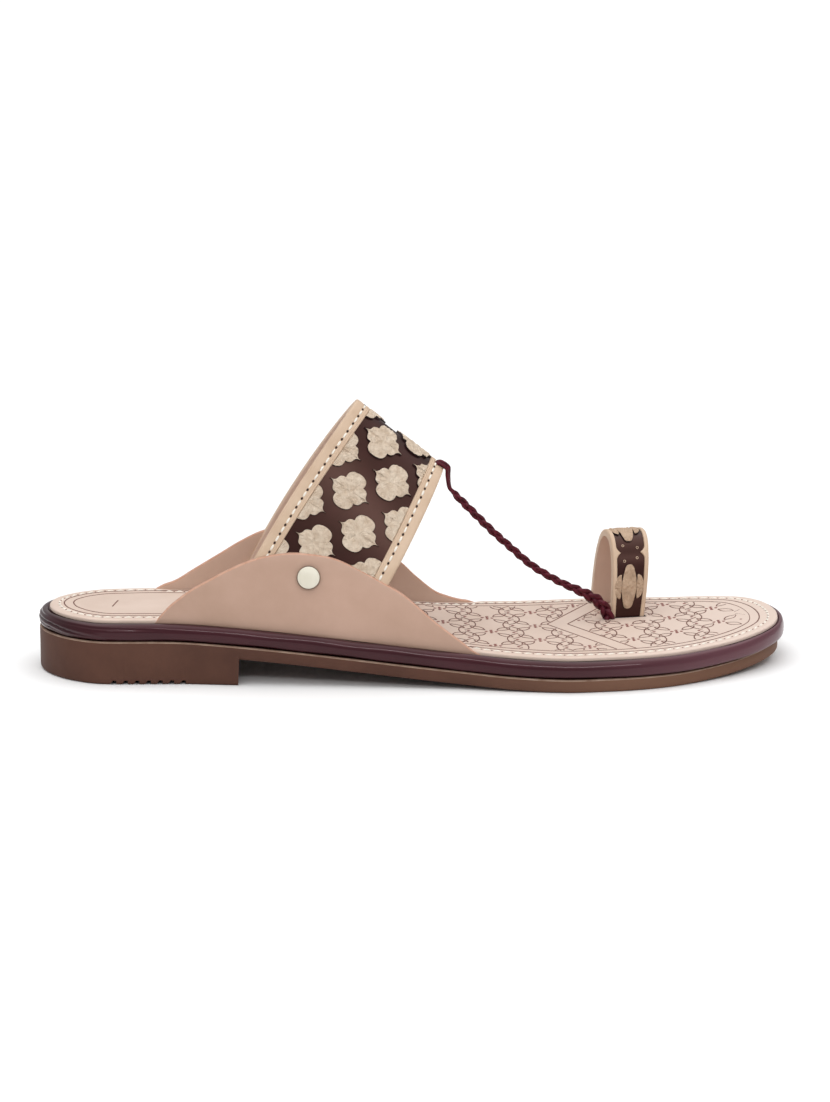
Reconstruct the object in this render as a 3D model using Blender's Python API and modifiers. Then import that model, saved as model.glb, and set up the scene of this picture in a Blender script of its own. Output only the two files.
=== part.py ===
"""A toe ring sandal for the right foot, empty and standing on its sole.

Metres, +Z up, the toe towards +X and the inner side of the foot towards +Y.
Shapes are worked out with the back of the heel at x = 0 and moved to the middle of the sole at the end.
"""

import math

import bmesh
import bpy
import numpy as np
from mathutils import Matrix

# Sizes of the shoe
LENGTH = 0.258
BALL_WIDTH = 0.0928
HEEL_WIDTH = 0.0546
INSTEP_REAR_HEIGHT = 0.0701
INSTEP_FRONT_HEIGHT = 0.0506
SEAT_RISE = 0.0103
TOE_SPRING = 0.004
GAP = 0.0003

# Sizes of the sole
OUTSOLE_THICKNESS = 0.0045
OUTSOLE_INSET = 0.0001
TOE_INSET = 0.002
EDGE_ROUND = 0.0012
TOP_CHAMFER = 0.0004
MIDSOLE_THICKNESS = 0.0054
INSOLE_THICKNESS = 0.0014
INSOLE_EDGE = 0.0004
ROLL_WIDTH = 0.0032
HEEL_BLOCK_LENGTH = 0.068
BREAST_RUN = 0.0012
TREAD_PITCH = 0.0039
TREAD_DEPTH = 0.0009
TREAD_WIDTH = 0.0021
TREAD_COUNT = 7
TREAD_START = 0.0255

# Sizes of the wings and the instep strap
WING_HEIGHT = 0.0257
WING_THICKNESS = 0.0023
STRAP_THICKNESS = 0.0022
STRAP_REAR_BASE = 0.0653
STRAP_REAR_APEX = 0.1089
STRAP_FRONT_BASE = 0.1115
STRAP_FRONT_APEX = 0.1389
STRAP_REAR_BOW = 0.256
STRAP_FRONT_BOW = -0.15
STRAP_SKEW = 0.09
STRAP_EMBED = 0.0009
STRAP_CLEAR = 0.0009
ARCH_POWER = 1.8
BORDER_WIDTH = 0.0057
BORDER_RAISE = 0.0009
MOTIF_RAISE = 0.0006
MOTIF_WIDTH = 0.0142
MOTIF_LENGTH = 0.0136
MOTIF_STEP = 0.022
MOTIF_ROOT = 0.0009

# Sizes of the toe ring, the braid and the rivets
RING_X = 0.2045
RING_EDGE = 0.0087
RING_SPAN = 0.026
RING_HEIGHT = 0.0288
RING_BASE_WIDTH = 0.0112
RING_TOP_WIDTH = 0.0128
RING_THICKNESS = 0.0024
RING_BORDER = 0.002
RING_RAISE = 0.0004
RING_YAW = math.radians(11.0)
RING_POWER = 2.4
RING_FORWARD = 0.0026
BRAID_RADIUS = 0.0016
STRAND_RADIUS = 0.00086
BRAID_LEAD = 0.0144
BRAID_END_BEHIND = 0.0069
BRAID_END_OUT = 0.0022
RIVET_X = 0.092
RIVET_RISE = 0.0181
RIVET_RADIUS = 0.004
RIVET_DOME = 0.0008
RIVET_SHANK = 0.0019
RIVET_RIM = 0.0007
RIVET_HEAD = 0.0008
RIVET_HEAD_RADIUS = 0.0034
BORDER_SLOPE = 0.0003
CUT_PAST = 0.002

# Outermost line of the rolled edge: share of the length, then the two half widths as shares of half the width there
OUTLINE = (
    # along, lateral, medial
    (0.006, 0.24, 0.38),
    (0.020, 0.50, 0.60),
    (0.043, 0.75, 0.80),
    (0.078, 0.95, 0.95),
    (0.124, 1.00, 0.99),
    (0.194, 1.01, 1.00),
    (0.271, 1.035, 1.00),
    (0.380, 0.985, 0.93),
    (0.473, 0.94, 0.90),
    (0.554, 0.93, 0.90),
    (0.616, 0.965, 0.93),
    (0.686, 1.00, 0.975),
    (0.733, 0.988, 1.005),
    (0.787, 0.945, 1.025),
    (0.837, 0.858, 1.025),
    (0.891, 0.703, 0.990),
    (0.934, 0.545, 0.895),
    (0.969, 0.360, 0.735),
    (0.992, 0.150, 0.465),
)
HEEL_POINT = 0.08
TOE_POINT = 0.135
WIDTH_BLEND = (0.15, 0.70)
HEEL_ARC = 0.05
TOE_ARC = 0.93
SEAT_SHARES = (0.135, 0.70)
SPRING_SHARE = 0.83

# Top edge of each wing: share of the length and share of the wing height, from the heel end to the toe end
WING_TOP_LATERAL = (
    # along, height
    (0.155, 0.012),
    (0.178, 0.20),
    (0.202, 0.39),
    (0.229, 0.56),
    (0.254, 0.71),
    (0.285, 0.865),
    (0.315, 0.958),
    (0.345, 1.00),
    (0.383, 0.99),
    (0.412, 0.91),
    (0.455, 0.73),
    (0.482, 0.60),
    (0.518, 0.33),
    (0.548, 0.13),
    (0.564, 0.04),
    (0.578, 0.012),
)
WING_TOP_MEDIAL = (
    # along, height
    (0.145, 0.012),
    (0.177, 0.10),
    (0.206, 0.28),
    (0.240, 0.50),
    (0.270, 0.70),
    (0.299, 0.86),
    (0.330, 0.95),
    (0.365, 0.985),
    (0.400, 0.93),
    (0.440, 0.78),
    (0.482, 0.575),
    (0.508, 0.345),
    (0.532, 0.155),
    (0.548, 0.085),
    (0.572, 0.025),
    (0.600, 0.012),
)

# Course of the braid: share of the run forward and share of the drop
BRAID_COURSE = (
    # run, drop
    (0.000, 0.000),
    (0.022, 0.043),
    (0.068, 0.114),
    (0.184, 0.247),
    (0.294, 0.370),
    (0.412, 0.490),
    (0.534, 0.609),
    (0.681, 0.714),
    (0.826, 0.796),
    (0.902, 0.843),
    (0.951, 0.888),
    (0.988, 0.945),
    (1.000, 1.000),
)

# Quatrefoils on the strap, in columns: distance from its rear edge, and of the first one from its apex
MOTIF_COLUMNS = (
    # across, first, count
    (0.0051, -0.0633, 6),
    (0.0154, -0.0523, 6),
    (0.0257, -0.0633, 6),
    (0.0360, -0.0523, 5),
)

# One quarter of a quatrefoil's outline: degrees from the pointed tip, and share of its half length
MOTIF_QUARTER = (
    # angle, reach
    (0.0, 1.00),
    (9.0, 0.80),
    (21.0, 0.74),
    (33.0, 0.86),
    (44.0, 0.87),
    (55.0, 0.77),
    (66.0, 0.90),
    (78.0, 0.97),
)

# Section of the roll from its foot to the tray: share of its width drawn in, and share of its height
ROLL_SECTION = (
    # drawn in, height
    (0.40, 0.00),
    (0.14, 0.10),
    (0.00, 0.36),
    (0.05, 0.64),
    (0.24, 0.87),
    (0.52, 0.985),
    (0.82, 0.99),
    (1.00, 0.90),
)
ROLL_TUCK = 1.03

# Section of the outsole's lower edge: share of the rounding drawn in, and share of the rounding up
EDGE_SECTION = (
    # drawn in, rise
    (1.00, 0.00),
    (0.35, 0.30),
    (0.00, 1.00),
)

ROWS = 34
ACROSS = 8
DENSE = 900
FINE = 400
ROUND_STEPS = 24
NUDGE = 0.001
WELD = 0.00001
STRAP_TURNS = (0.012, 0.988)

LATERAL = -1
MEDIAL = 1


def smooth(share):
    share = np.clip(share, 0.0, 1.0)
    return share * share * (3.0 - 2.0 * share)


def curve_through(points, count, closed):
    """A smooth line through the points, as evenly spaced points."""
    points = np.asarray(points, float)
    if closed:
        points = np.vstack([points[-1], points, points[0], points[1]])
    else:
        points = np.vstack([2 * points[0] - points[1], points, 2 * points[-1] - points[-2]])
    dense = []
    for a, b, c, d in zip(points[:-3], points[1:-2], points[2:-1], points[3:]):
        for t in np.linspace(0.0, 1.0, 24, endpoint=False):
            dense.append(0.5 * (2 * b + (c - a) * t + (2 * a - 5 * b + 4 * c - d) * t**2
                                + (3 * b - a - 3 * c + d) * t**3))
    dense.append(points[-2])
    dense = np.array(dense)
    run = np.concatenate([[0.0], np.cumsum(np.linalg.norm(np.diff(dense, axis=0), axis=1))])
    at = np.linspace(0.0, run[-1], count + 1 if closed else count)
    line = np.stack([np.interp(at, run, dense[:, k]) for k in range(dense.shape[1])], axis=1)
    return line[:-1] if closed else line


def half_width(along):
    blend = smooth((along - WIDTH_BLEND[0]) / (WIDTH_BLEND[1] - WIDTH_BLEND[0]))
    return 0.5 * (HEEL_WIDTH * (1.0 - blend) + BALL_WIDTH * blend)


def edge_line():
    """The outermost line, from the back of the heel along the lateral side to the toe and back."""
    along, lateral, medial = np.array(OUTLINE).T
    lateral_side = np.stack([along * LENGTH, -lateral * half_width(along)], axis=1)
    medial_side = np.stack([along * LENGTH, medial * half_width(along)], axis=1)
    heel = [[0.0, HEEL_POINT * half_width(0.0)]]
    toe = [[LENGTH, TOE_POINT * half_width(1.0)]]
    line = curve_through(np.vstack([heel, lateral_side, toe, medial_side[::-1]]), DENSE, True)
    line[:, 0] = (line[:, 0] - line[:, 0].min()) * LENGTH / np.ptp(line[:, 0])
    return line


EDGE = edge_line()
TURN = np.roll(EDGE, -2, axis=0) - np.roll(EDGE, 2, axis=0)
OUTWARD = np.stack([TURN[:, 1], -TURN[:, 0]], axis=1) / np.linalg.norm(TURN, axis=1)[:, None]


def inset_line(inset):
    """The outermost line drawn in by a length, or by a length that depends on the place along the shoe."""
    amount = inset(EDGE[:, 0]) if callable(inset) else np.full(DENSE, inset)
    return EDGE - OUTWARD * amount[:, None]


def sides_of(line):
    """The two sides of an outline, each from heel to toe."""
    toe = int(np.argmax(line[:, 0]))
    heel = int(np.argmin(np.where(np.arange(DENSE) < DENSE // 4, line[:, 0], np.inf)))
    ring = np.roll(line, -heel, axis=0)
    toe = (toe - heel) % DENSE
    return ring[: toe + 1], np.vstack([ring[toe:], ring[:1]])[::-1]


def side_y(side, x, inset=0.0):
    """Where one side of the outline is at x, in y."""
    line = sides_of(inset_line(inset))[0 if side == LATERAL else 1]
    order = np.argsort(line[:, 0], kind="stable")
    return np.interp(x, line[order, 0], line[order, 1])


def even(line, count):
    run = np.concatenate([[0.0], np.cumsum(np.linalg.norm(np.diff(line, axis=0), axis=1))])
    at = np.linspace(0.0, run[-1], count)
    return np.stack([np.interp(at, run, line[:, k]) for k in range(2)], axis=1)


def stations():
    """Places of the rows along the shoe, with a pair at the front face of the heel block."""
    before = int(round(ROWS * 0.26))
    rear = np.linspace(HEEL_ARC * LENGTH, HEEL_BLOCK_LENGTH, before)
    front = np.linspace(HEEL_BLOCK_LENGTH + BREAST_RUN, TOE_ARC * LENGTH, ROWS - before)
    return np.concatenate([rear, front])


STATIONS = stations()


def layer_grid(inset):
    """ROWS x (ACROSS + 1) points in plan: rows straight across, but the first and last follow the outline."""
    line = inset_line(inset)
    lateral, medial = sides_of(line)
    ends = []
    for side in (lateral, medial):
        order = np.argsort(side[:, 0], kind="stable")
        ends.append(np.interp(STATIONS, side[order, 0], side[order, 1]))
    share = np.linspace(0.0, 1.0, ACROSS + 1)
    grid = np.empty((ROWS, ACROSS + 1, 2))
    grid[:, :, 0] = STATIONS[:, None]
    grid[:, :, 1] = ends[0][:, None] * (1 - share) + ends[1][:, None] * share
    for row, keep in ((0, lambda x: x < STATIONS[0]), (-1, lambda x: x > STATIONS[-1])):
        first, last = grid[row, 0].copy(), grid[row, -1].copy()
        near = lateral[keep(lateral[:, 0])]
        far = medial[keep(medial[:, 0])]
        if row == 0:
            arc = np.vstack([first, near[::-1], far, last])
        else:
            arc = np.vstack([first, near, far[::-1], last])
        grid[row] = even(arc, ACROSS + 1)
    return grid


def boundary(rows, columns):
    """Indices of a grid's rim, in order."""
    index = np.arange(rows * columns).reshape(rows, columns)
    return np.concatenate([index[:, 0], index[-1, 1:], index[-2::-1, -1], index[0, -2:0:-1]])


def quads(rows, columns, start=0):
    index = np.arange(rows * columns).reshape(rows, columns) + start
    corners = (index[:-1, :-1], index[1:, :-1], index[1:, 1:], index[:-1, 1:])
    return np.stack(corners, axis=-1).reshape(-1, 4).tolist()


def new_object(name, points, faces, collection, material=None, sharp=35.0):
    mesh = bpy.data.meshes.new(name)
    mesh.from_pydata([tuple(p) for p in points], [], faces)
    mesh.validate()
    volume = 0.0
    for polygon in mesh.polygons:
        corners = [mesh.vertices[i].co for i in polygon.vertices]
        for b, c in zip(corners[1:-1], corners[2:]):
            volume += corners[0].dot(b.cross(c))
    if volume < 0.0:
        mesh.flip_normals()
    mesh.polygons.foreach_set("use_smooth", [True] * len(mesh.polygons))
    mesh.set_sharp_from_angle(angle=math.radians(sharp))
    made = bpy.data.objects.new(name, mesh)
    collection.objects.link(made)
    if material:
        mesh.materials.append(material)
    if collection is HELPERS:
        made.hide_render = True
        made.display_type = "WIRE"
    return made


def layer(name, rings, material):
    """A closed layer of the sole from rings (inset, height over x), the first and last of them capped."""
    rim = boundary(ROWS, ACROSS + 1)
    grids = [layer_grid(inset) for inset, _ in rings]
    heights = [height(grid[..., 0]) for grid, (_, height) in zip(grids, rings)]
    solid = [np.concatenate([g, z[..., None]], axis=-1).reshape(-1, 3) for g, z in zip(grids, heights)]
    size = ROWS * (ACROSS + 1)
    points = [solid[0]]
    loops = [rim]
    start = size
    for body in solid[1:-1]:
        points.append(body[rim])
        loops.append(np.arange(len(rim)) + start)
        start += len(rim)
    points.append(solid[-1])
    loops.append(rim + start)
    faces = quads(ROWS, ACROSS + 1)
    faces += [f[::-1] for f in quads(ROWS, ACROSS + 1, start)]
    for low, high in zip(loops[:-1], loops[1:]):
        for a, b, c, d in zip(low, np.roll(low, -1), np.roll(high, -1), high):
            faces.append([int(a), int(d), int(c), int(b)])
    return new_object(name, np.vstack(points), faces, PARTS, material)


def shell_faces(rows, columns):
    """Faces of a closed wall between two grids of the same size, the outer one first."""
    size = rows * columns
    faces = quads(rows, columns) + [f[::-1] for f in quads(rows, columns, size)]
    rim = boundary(rows, columns)
    for a, b in zip(rim, np.roll(rim, -1)):
        faces.append([int(a), int(a + size), int(b + size), int(b)])
    return faces


def grid_normals(grid):
    along = np.gradient(grid, axis=0)
    across = np.gradient(grid, axis=1)
    normal = np.cross(along, across)
    return normal / np.linalg.norm(normal, axis=-1)[..., None]


# Heights of the layers over the length
def under(x):
    """Height of the sole's lower side in front of the heel block."""
    share = x / LENGTH
    seat = 1.0 - smooth((share - SEAT_SHARES[0]) / (SEAT_SHARES[1] - SEAT_SHARES[0]))
    spring = np.clip((share - SPRING_SHARE) / (1.0 - SPRING_SHARE), 0.0, 1.0) ** 2
    return SEAT_RISE * seat + TOE_SPRING * spring


def outsole_bottom(x):
    return np.where(x <= HEEL_BLOCK_LENGTH + 0.1 * BREAST_RUN, 0.0, under(x))


def outsole_top(x):
    return under(x) + OUTSOLE_THICKNESS


def tray_floor(x):
    return outsole_top(x) + MIDSOLE_THICKNESS


def insole_low(x):
    return tray_floor(x) + GAP


def insole_top(x):
    return insole_low(x) + INSOLE_THICKNESS


def roll_inset(x):
    return ROLL_WIDTH * (1.0 - 0.4 * smooth((x / LENGTH - 0.86) / 0.14))


def outsole_inset(x):
    return OUTSOLE_INSET + TOE_INSET * smooth((x / LENGTH - 0.72) / 0.28)


def make_outsole():
    """The moulded unit: the heel block down to the floor, and the sole arched at the waist."""

    def over(rise):
        return lambda x: outsole_bottom(x) + rise

    def drawn_in(share):
        return lambda x: outsole_inset(x) + share * EDGE_ROUND * (0.4 + 0.6 * smooth(x / HEEL_BLOCK_LENGTH - 0.5))

    rings = [(drawn_in(share), over(rise * EDGE_ROUND)) for share, rise in EDGE_SECTION]
    rings.append((drawn_in(0.0), lambda x: outsole_top(x) - TOP_CHAMFER))
    rings.append((lambda x: outsole_inset(x) + TOP_CHAMFER, outsole_top))
    made = layer("outsole", rings, RUBBER)
    size = (TREAD_WIDTH, 2 * HEEL_WIDTH, 2 * TREAD_DEPTH)
    centres = [(TREAD_START + number * TREAD_PITCH, 0.0, 0.0) for number in range(TREAD_COUNT)]
    cut(made, blocks("tread", size, centres))
    return made


def blocks(name, size, centres, yaw=0.0):
    """Boxes that cut, each turned about its upright axis."""
    mesh = bpy.data.meshes.new(name)
    build = bmesh.new()
    for centre in centres:
        place = Matrix.Translation(centre) @ Matrix.Rotation(yaw, 4, "Z") @ Matrix.Diagonal((*size, 1.0))
        bmesh.ops.create_cube(build, size=1.0, matrix=place)
    build.to_mesh(mesh)
    build.free()
    made = bpy.data.objects.new(name, mesh)
    HELPERS.objects.link(made)
    made.hide_render = True
    made.display_type = "WIRE"
    return made


def boolean(target, tool, operation):
    step = target.modifiers.new(tool.name, "BOOLEAN")
    step.operation = operation
    step.solver = "EXACT"
    step.object = tool


def cut(target, tool):
    boolean(target, tool, "DIFFERENCE")


def join(target, tool):
    boolean(target, tool, "UNION")


def make_midsole():
    """The padded rand: a full roll all round a flat tray."""

    def base(x):
        return outsole_top(x) + GAP

    def between(share):
        return lambda x: base(x) + share * (insole_top(x) - INSOLE_EDGE - base(x))

    def drawn_in(more):
        return lambda x: roll_inset(x) * more

    rings = [(drawn_in(share), between(rise)) for share, rise in ROLL_SECTION]
    rings.append((drawn_in(ROLL_TUCK), tray_floor))
    return layer("midsole", rings, ROLL)


def wall_helper(name, side, start, end, outer, inner, low, high):
    """A closed wall that follows the outline between two insets."""
    x = np.linspace(start, end, 15)
    faces_y = [side_y(side, x, outer), side_y(side, x, inner)]
    z = [low(x), high(x)]
    corners = ((0, 0), (1, 0), (1, 1), (0, 1))
    points = np.array([[x, faces_y[j], z[k]] for j, k in corners]).transpose(2, 0, 1).reshape(-1, 3)
    faces = [[0, 1, 2, 3], [len(points) - 4 + k for k in (3, 2, 1, 0)]]
    for row in range(len(x) - 1):
        a = row * 4
        for k in range(4):
            faces.append([a + k, a + 4 + k, a + 4 + (k + 1) % 4, a + (k + 1) % 4])
    return new_object(name, points, faces, HELPERS)


def make_insole():
    """The top sheet, let in at both sides for the wings, with slots for the ring and a hole for the braid."""

    def drawn_in(more):
        return lambda x: roll_inset(x) * ROLL_TUCK + GAP + more

    rings = (
        (drawn_in(0.0), insole_low),
        (drawn_in(0.0), lambda x: insole_top(x) - INSOLE_EDGE),
        (drawn_in(INSOLE_EDGE), insole_top),
    )
    made = layer("insole", rings, TOP_SHEET)
    for side, table, name in ((LATERAL, WING_TOP_LATERAL, "lateral"), (MEDIAL, WING_TOP_MEDIAL, "medial")):
        start, end = table[0][0] * LENGTH - GAP, table[-1][0] * LENGTH + GAP
        cut(made, wall_helper(f"let_in_{name}", side, start, end, 0.0,
                              ROLL_WIDTH * ROLL_TUCK + WING_THICKNESS + 3 * GAP,
                              lambda x: insole_low(x) - CUT_PAST, lambda x: insole_top(x) + CUT_PAST))
    for leg in (0, 1):
        cut(made, ring_slot(leg))
    hole = BRAID_RADIUS + 2 * GAP
    half = INSOLE_THICKNESS + CUT_PAST
    x, y = braid_end()
    centre = (x, y, float(insole_top(x)))
    cut(made, turned("braid_hole", rod(hole, half), ROUND_STEPS, centre, (0.0, 0.0, 1.0), HELPERS))
    return made


# The last: the shape of the foot that the wings and the strap follow
def arch(share):
    """Half width over height, both as shares."""
    return (1.0 - np.clip(share, 0.0, 1.0) ** ARCH_POWER) ** (1.0 / ARCH_POWER)


def last_height(x):
    share = np.clip((x - STRAP_REAR_BASE) / (STRAP_FRONT_BASE - STRAP_REAR_BASE), 0.0, 1.0)
    return INSTEP_REAR_HEIGHT * (1.0 - share) + INSTEP_FRONT_HEIGHT * share


def wing_foot(side, x):
    """Outer face of a wing at the insole, in y."""
    return side_y(side, x, ROLL_WIDTH * ROLL_TUCK + GAP)


def wing_top(table, x):
    along, height = np.array(table).T
    line = curve_through(np.stack([along * LENGTH, height * WING_HEIGHT], axis=1), 120, False)
    return np.interp(x, line[:, 0], line[:, 1])


def wing(name, side, table):
    """One wing: a wall along the outline that leans in like the foot."""
    rows, levels = 27, 6
    x = np.linspace(table[0][0] * LENGTH, table[-1][0] * LENGTH, rows)
    top = wing_top(table, x)
    low = insole_low(x) - insole_top(x)
    grid = np.empty((rows, levels, 3))
    for level, share in enumerate(np.linspace(0.0, 1.0, levels)):
        height = low + (top - low) * share
        foot = wing_foot(side, x)
        inward = np.abs(foot) * (1.0 - arch(np.clip(height, 0.0, None) / last_height(x)))
        grid[:, level] = np.stack([x, foot - side * inward, insole_top(x) + height], axis=1)
    normal = grid_normals(grid)
    flat = normal * (1.0, 1.0, 0.0)
    flat /= np.linalg.norm(flat, axis=-1)[..., None]
    toward = flat * np.sign(-side * flat[..., 1])[..., None]
    inner = grid + toward * WING_THICKNESS
    inner[..., 0] = grid[..., 0]
    points = np.vstack([grid.reshape(-1, 3), inner.reshape(-1, 3)])
    return new_object(name, points, shell_faces(rows, levels), HELPERS)


def strap_point(across, turn):
    """Ground surface of the strap: across 0 at the rear edge and 1 at the front, turn 0 lateral to 1 medial."""
    across, turn = np.broadcast_arrays(across, turn)
    angle = np.pi * turn
    power = 2.0 / ARCH_POWER
    rise = np.clip(np.sin(angle), 0.0, 1.0) ** power
    reach = np.abs(np.cos(angle)) ** power * np.sign(-np.cos(angle))
    edges = []
    for base, apex, height, bow in (
        (STRAP_REAR_BASE, STRAP_REAR_APEX, INSTEP_REAR_HEIGHT, STRAP_REAR_BOW),
        (STRAP_FRONT_BASE, STRAP_FRONT_APEX, INSTEP_FRONT_HEIGHT, STRAP_FRONT_BOW),
    ):
        half = {
            side: abs(float(wing_foot(side, base))) - WING_THICKNESS + STRAP_EMBED
            for side in (LATERAL, MEDIAL)
        }
        y = np.where(reach < 0.0, half[LATERAL], half[MEDIAL]) * reach
        x = base + (apex - base) * (rise * (1.0 - bow) + bow * rise**2) + STRAP_SKEW * y
        z = insole_top(np.full_like(y, base)) + STRAP_CLEAR + height * rise
        edges.append(np.stack([x, y, z], axis=-1))
    return edges[0] * (1.0 - across[..., None]) + edges[1] * across[..., None]


def strap_normal(across, turn):
    step = 0.002
    along = strap_point(across, turn + step) - strap_point(across, turn - step)
    aside = strap_point(across + step, turn) - strap_point(across - step, turn)
    normal = np.cross(aside, along)
    return normal / np.linalg.norm(normal, axis=-1)[..., None]


def strap_surface(across, turn, raised):
    """A point above the strap's ground by a length."""
    return strap_point(across, turn) + strap_normal(across, turn) * np.asarray(raised)[..., None]


def strap_turns(count):
    """Places round the strap, even along its middle."""
    fine = np.linspace(*STRAP_TURNS, FINE)
    line = strap_point(np.full(FINE, 0.5), fine)
    run = np.concatenate([[0.0], np.cumsum(np.linalg.norm(np.diff(line, axis=0), axis=1))])
    return np.interp(np.linspace(0.0, run[-1], count), run, fine)


def strap_width(turn):
    return np.linalg.norm(strap_point(np.ones_like(turn), turn) - strap_point(np.zeros_like(turn), turn), axis=-1)


def strap_body():
    turns = strap_turns(41)
    width = strap_width(turns)
    edge = BORDER_WIDTH / width
    slope = BORDER_SLOPE / width
    columns = (0.0 * edge, edge, edge + slope, 0.5 + 0.0 * edge, 1.0 - edge - slope, 1.0 - edge, 1.0 + 0.0 * edge)
    raised = (BORDER_RAISE, BORDER_RAISE, 0.0, 0.0, 0.0, BORDER_RAISE, BORDER_RAISE)
    outer = np.stack([strap_surface(a, turns, np.full_like(turns, r)) for a, r in zip(columns, raised)], axis=1)
    inner = np.stack([strap_surface(a, turns, np.full_like(turns, -STRAP_THICKNESS)) for a in columns], axis=1)
    points = np.vstack([outer.reshape(-1, 3), inner.reshape(-1, 3)])
    return new_object("upper", points, shell_faces(len(turns), len(columns)), PARTS, LEATHER)


def quatrefoil():
    """Outline of one motif as (across, along) pairs: pointed tips across the strap, round lobes along it."""
    angle, reach = np.array(MOTIF_QUARTER).T
    angle = np.concatenate([angle, [90.0], 180.0 - angle[:0:-1]])
    reach = np.concatenate([reach, [1.0], reach[:0:-1]])
    angle = np.radians(np.concatenate([angle, angle + 180.0]))
    reach = np.concatenate([reach, reach])
    return np.stack([0.5 * MOTIF_WIDTH * reach * np.cos(angle), 0.5 * MOTIF_LENGTH * reach * np.sin(angle)], axis=1)


def rear_edge_run():
    """Length along the strap's rear edge from its apex, for turns round it."""
    turns = np.linspace(*STRAP_TURNS, FINE)
    line = strap_point(np.zeros_like(turns), turns)
    run = np.concatenate([[0.0], np.cumsum(np.linalg.norm(np.diff(line, axis=0), axis=1))])
    return turns, run - np.interp(0.5, turns, run)


def strap_place(away, along):
    """(across, turn) of the point that lies square to the rear edge, away from it, at a length from the apex."""
    turns, run = rear_edge_run()
    step = 0.002
    turn = np.interp(along, run, turns)
    edge = strap_point(np.zeros_like(turn), turn + step) - strap_point(np.zeros_like(turn), turn - step)
    edge /= np.linalg.norm(edge, axis=-1)[..., None]
    rule = strap_point(np.ones_like(turn), turn) - strap_point(np.zeros_like(turn), turn)
    slip = (rule * edge).sum(axis=-1)
    square = np.linalg.norm(rule - slip[..., None] * edge, axis=-1)
    across = np.clip(away / square, 0.02, 0.98)
    rate = np.linalg.norm(strap_point(across, turn + step) - strap_point(across, turn - step), axis=-1) / (2 * step)
    return across, turn - across * slip / rate


def motifs():
    """All the quatrefoils as one helper of separate prisms."""
    shape = quatrefoil()
    count = len(shape)
    points, faces = [], []
    for away, first, number in MOTIF_COLUMNS:
        for along in first + MOTIF_STEP * np.arange(number):
            start = len(points)
            for raised in (MOTIF_RAISE, -MOTIF_ROOT):
                for share in (1.0, 0.45, 0.0):
                    ring = shape * share if share else shape[:1] * 0.0
                    place = strap_place(away + ring[:, 0], along + ring[:, 1])
                    points += list(strap_surface(*place, np.full(len(ring), raised)))
            below = start + 2 * count + 1
            for k in range(count):
                m = (k + 1) % count
                faces.append([start + k, start + m, start + count + m, start + count + k])
                faces.append([start + count + k, start + count + m, start + 2 * count])
                faces.append([below + m, below + k, below + count + k, below + count + m])
                faces.append([below + count + m, below + count + k, below + 2 * count])
                faces.append([start + m, start + k, below + k, below + m])
    return new_object("motifs", points, faces, HELPERS)


def rivet_seat(side):
    """Centre of a rivet on the outer face of its wing, and the way out of the face."""
    x = np.array([RIVET_X, RIVET_X + NUDGE])
    rise = np.array([RIVET_RISE, RIVET_RISE + NUDGE])

    def face(at, height):
        foot = wing_foot(side, at)
        return foot - side * abs(foot) * (1.0 - arch(height / last_height(at)))

    here = float(face(x[0], rise[0]))
    ahead = float(face(x[1], rise[0]))
    above = float(face(x[0], rise[1]))
    out = np.array([here - ahead, NUDGE, here - above]) * side
    centre = np.array([RIVET_X, here, float(insole_top(RIVET_X)) + RIVET_RISE])
    return centre, out / np.linalg.norm(out)


def turned(name, profile, steps, centre, axis, collection, material=None):
    """A body turned about an axis, from (radius, height) pairs listed from top to bottom."""
    mesh = bpy.data.meshes.new(name)
    mesh.from_pydata([(r, 0.0, z) for r, z in profile], [(k, k + 1) for k in range(len(profile) - 1)], [])
    made = bpy.data.objects.new(name, mesh)
    collection.objects.link(made)
    screw = made.modifiers.new("turn", "SCREW")
    screw.steps = screw.render_steps = steps
    screw.use_merge_vertices = True
    screw.merge_threshold = WELD
    made.location = centre
    up = np.asarray(axis, float)
    made.rotation_mode = "QUATERNION"
    made.rotation_quaternion = to_quaternion(up)
    if material:
        mesh.materials.append(material)
    if collection is HELPERS:
        made.hide_render = True
        made.display_type = "WIRE"
    return made


def rod(radius, half):
    """Profile of a round bar, from top to bottom."""
    return [(0.0, half), (radius, half), (radius, -half), (0.0, -half)]


def to_quaternion(up):
    """Rotation that carries +Z to a direction."""
    up = up / np.linalg.norm(up)
    half = up + np.array([0.0, 0.0, 1.0])
    half /= np.linalg.norm(half)
    x, y, z = np.cross([0.0, 0.0, 1.0], half)
    return (float(half[2]), float(x), float(y), float(z))


def make_upper():
    """Both wings and the instep strap as one solid, with its borders and motifs raised."""
    made = strap_body()
    join(made, motifs())
    join(made, wing("wing_lateral", LATERAL, WING_TOP_LATERAL))
    join(made, wing("wing_medial", MEDIAL, WING_TOP_MEDIAL))
    for side, name in ((LATERAL, "lateral"), (MEDIAL, "medial")):
        centre, out = rivet_seat(side)
        half = WING_THICKNESS + STRAP_THICKNESS + BORDER_RAISE + CUT_PAST
        cut(made, turned(f"rivet_hole_{name}", rod(RIVET_SHANK + GAP, half), ROUND_STEPS, centre, out, HELPERS))
    return made


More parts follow.
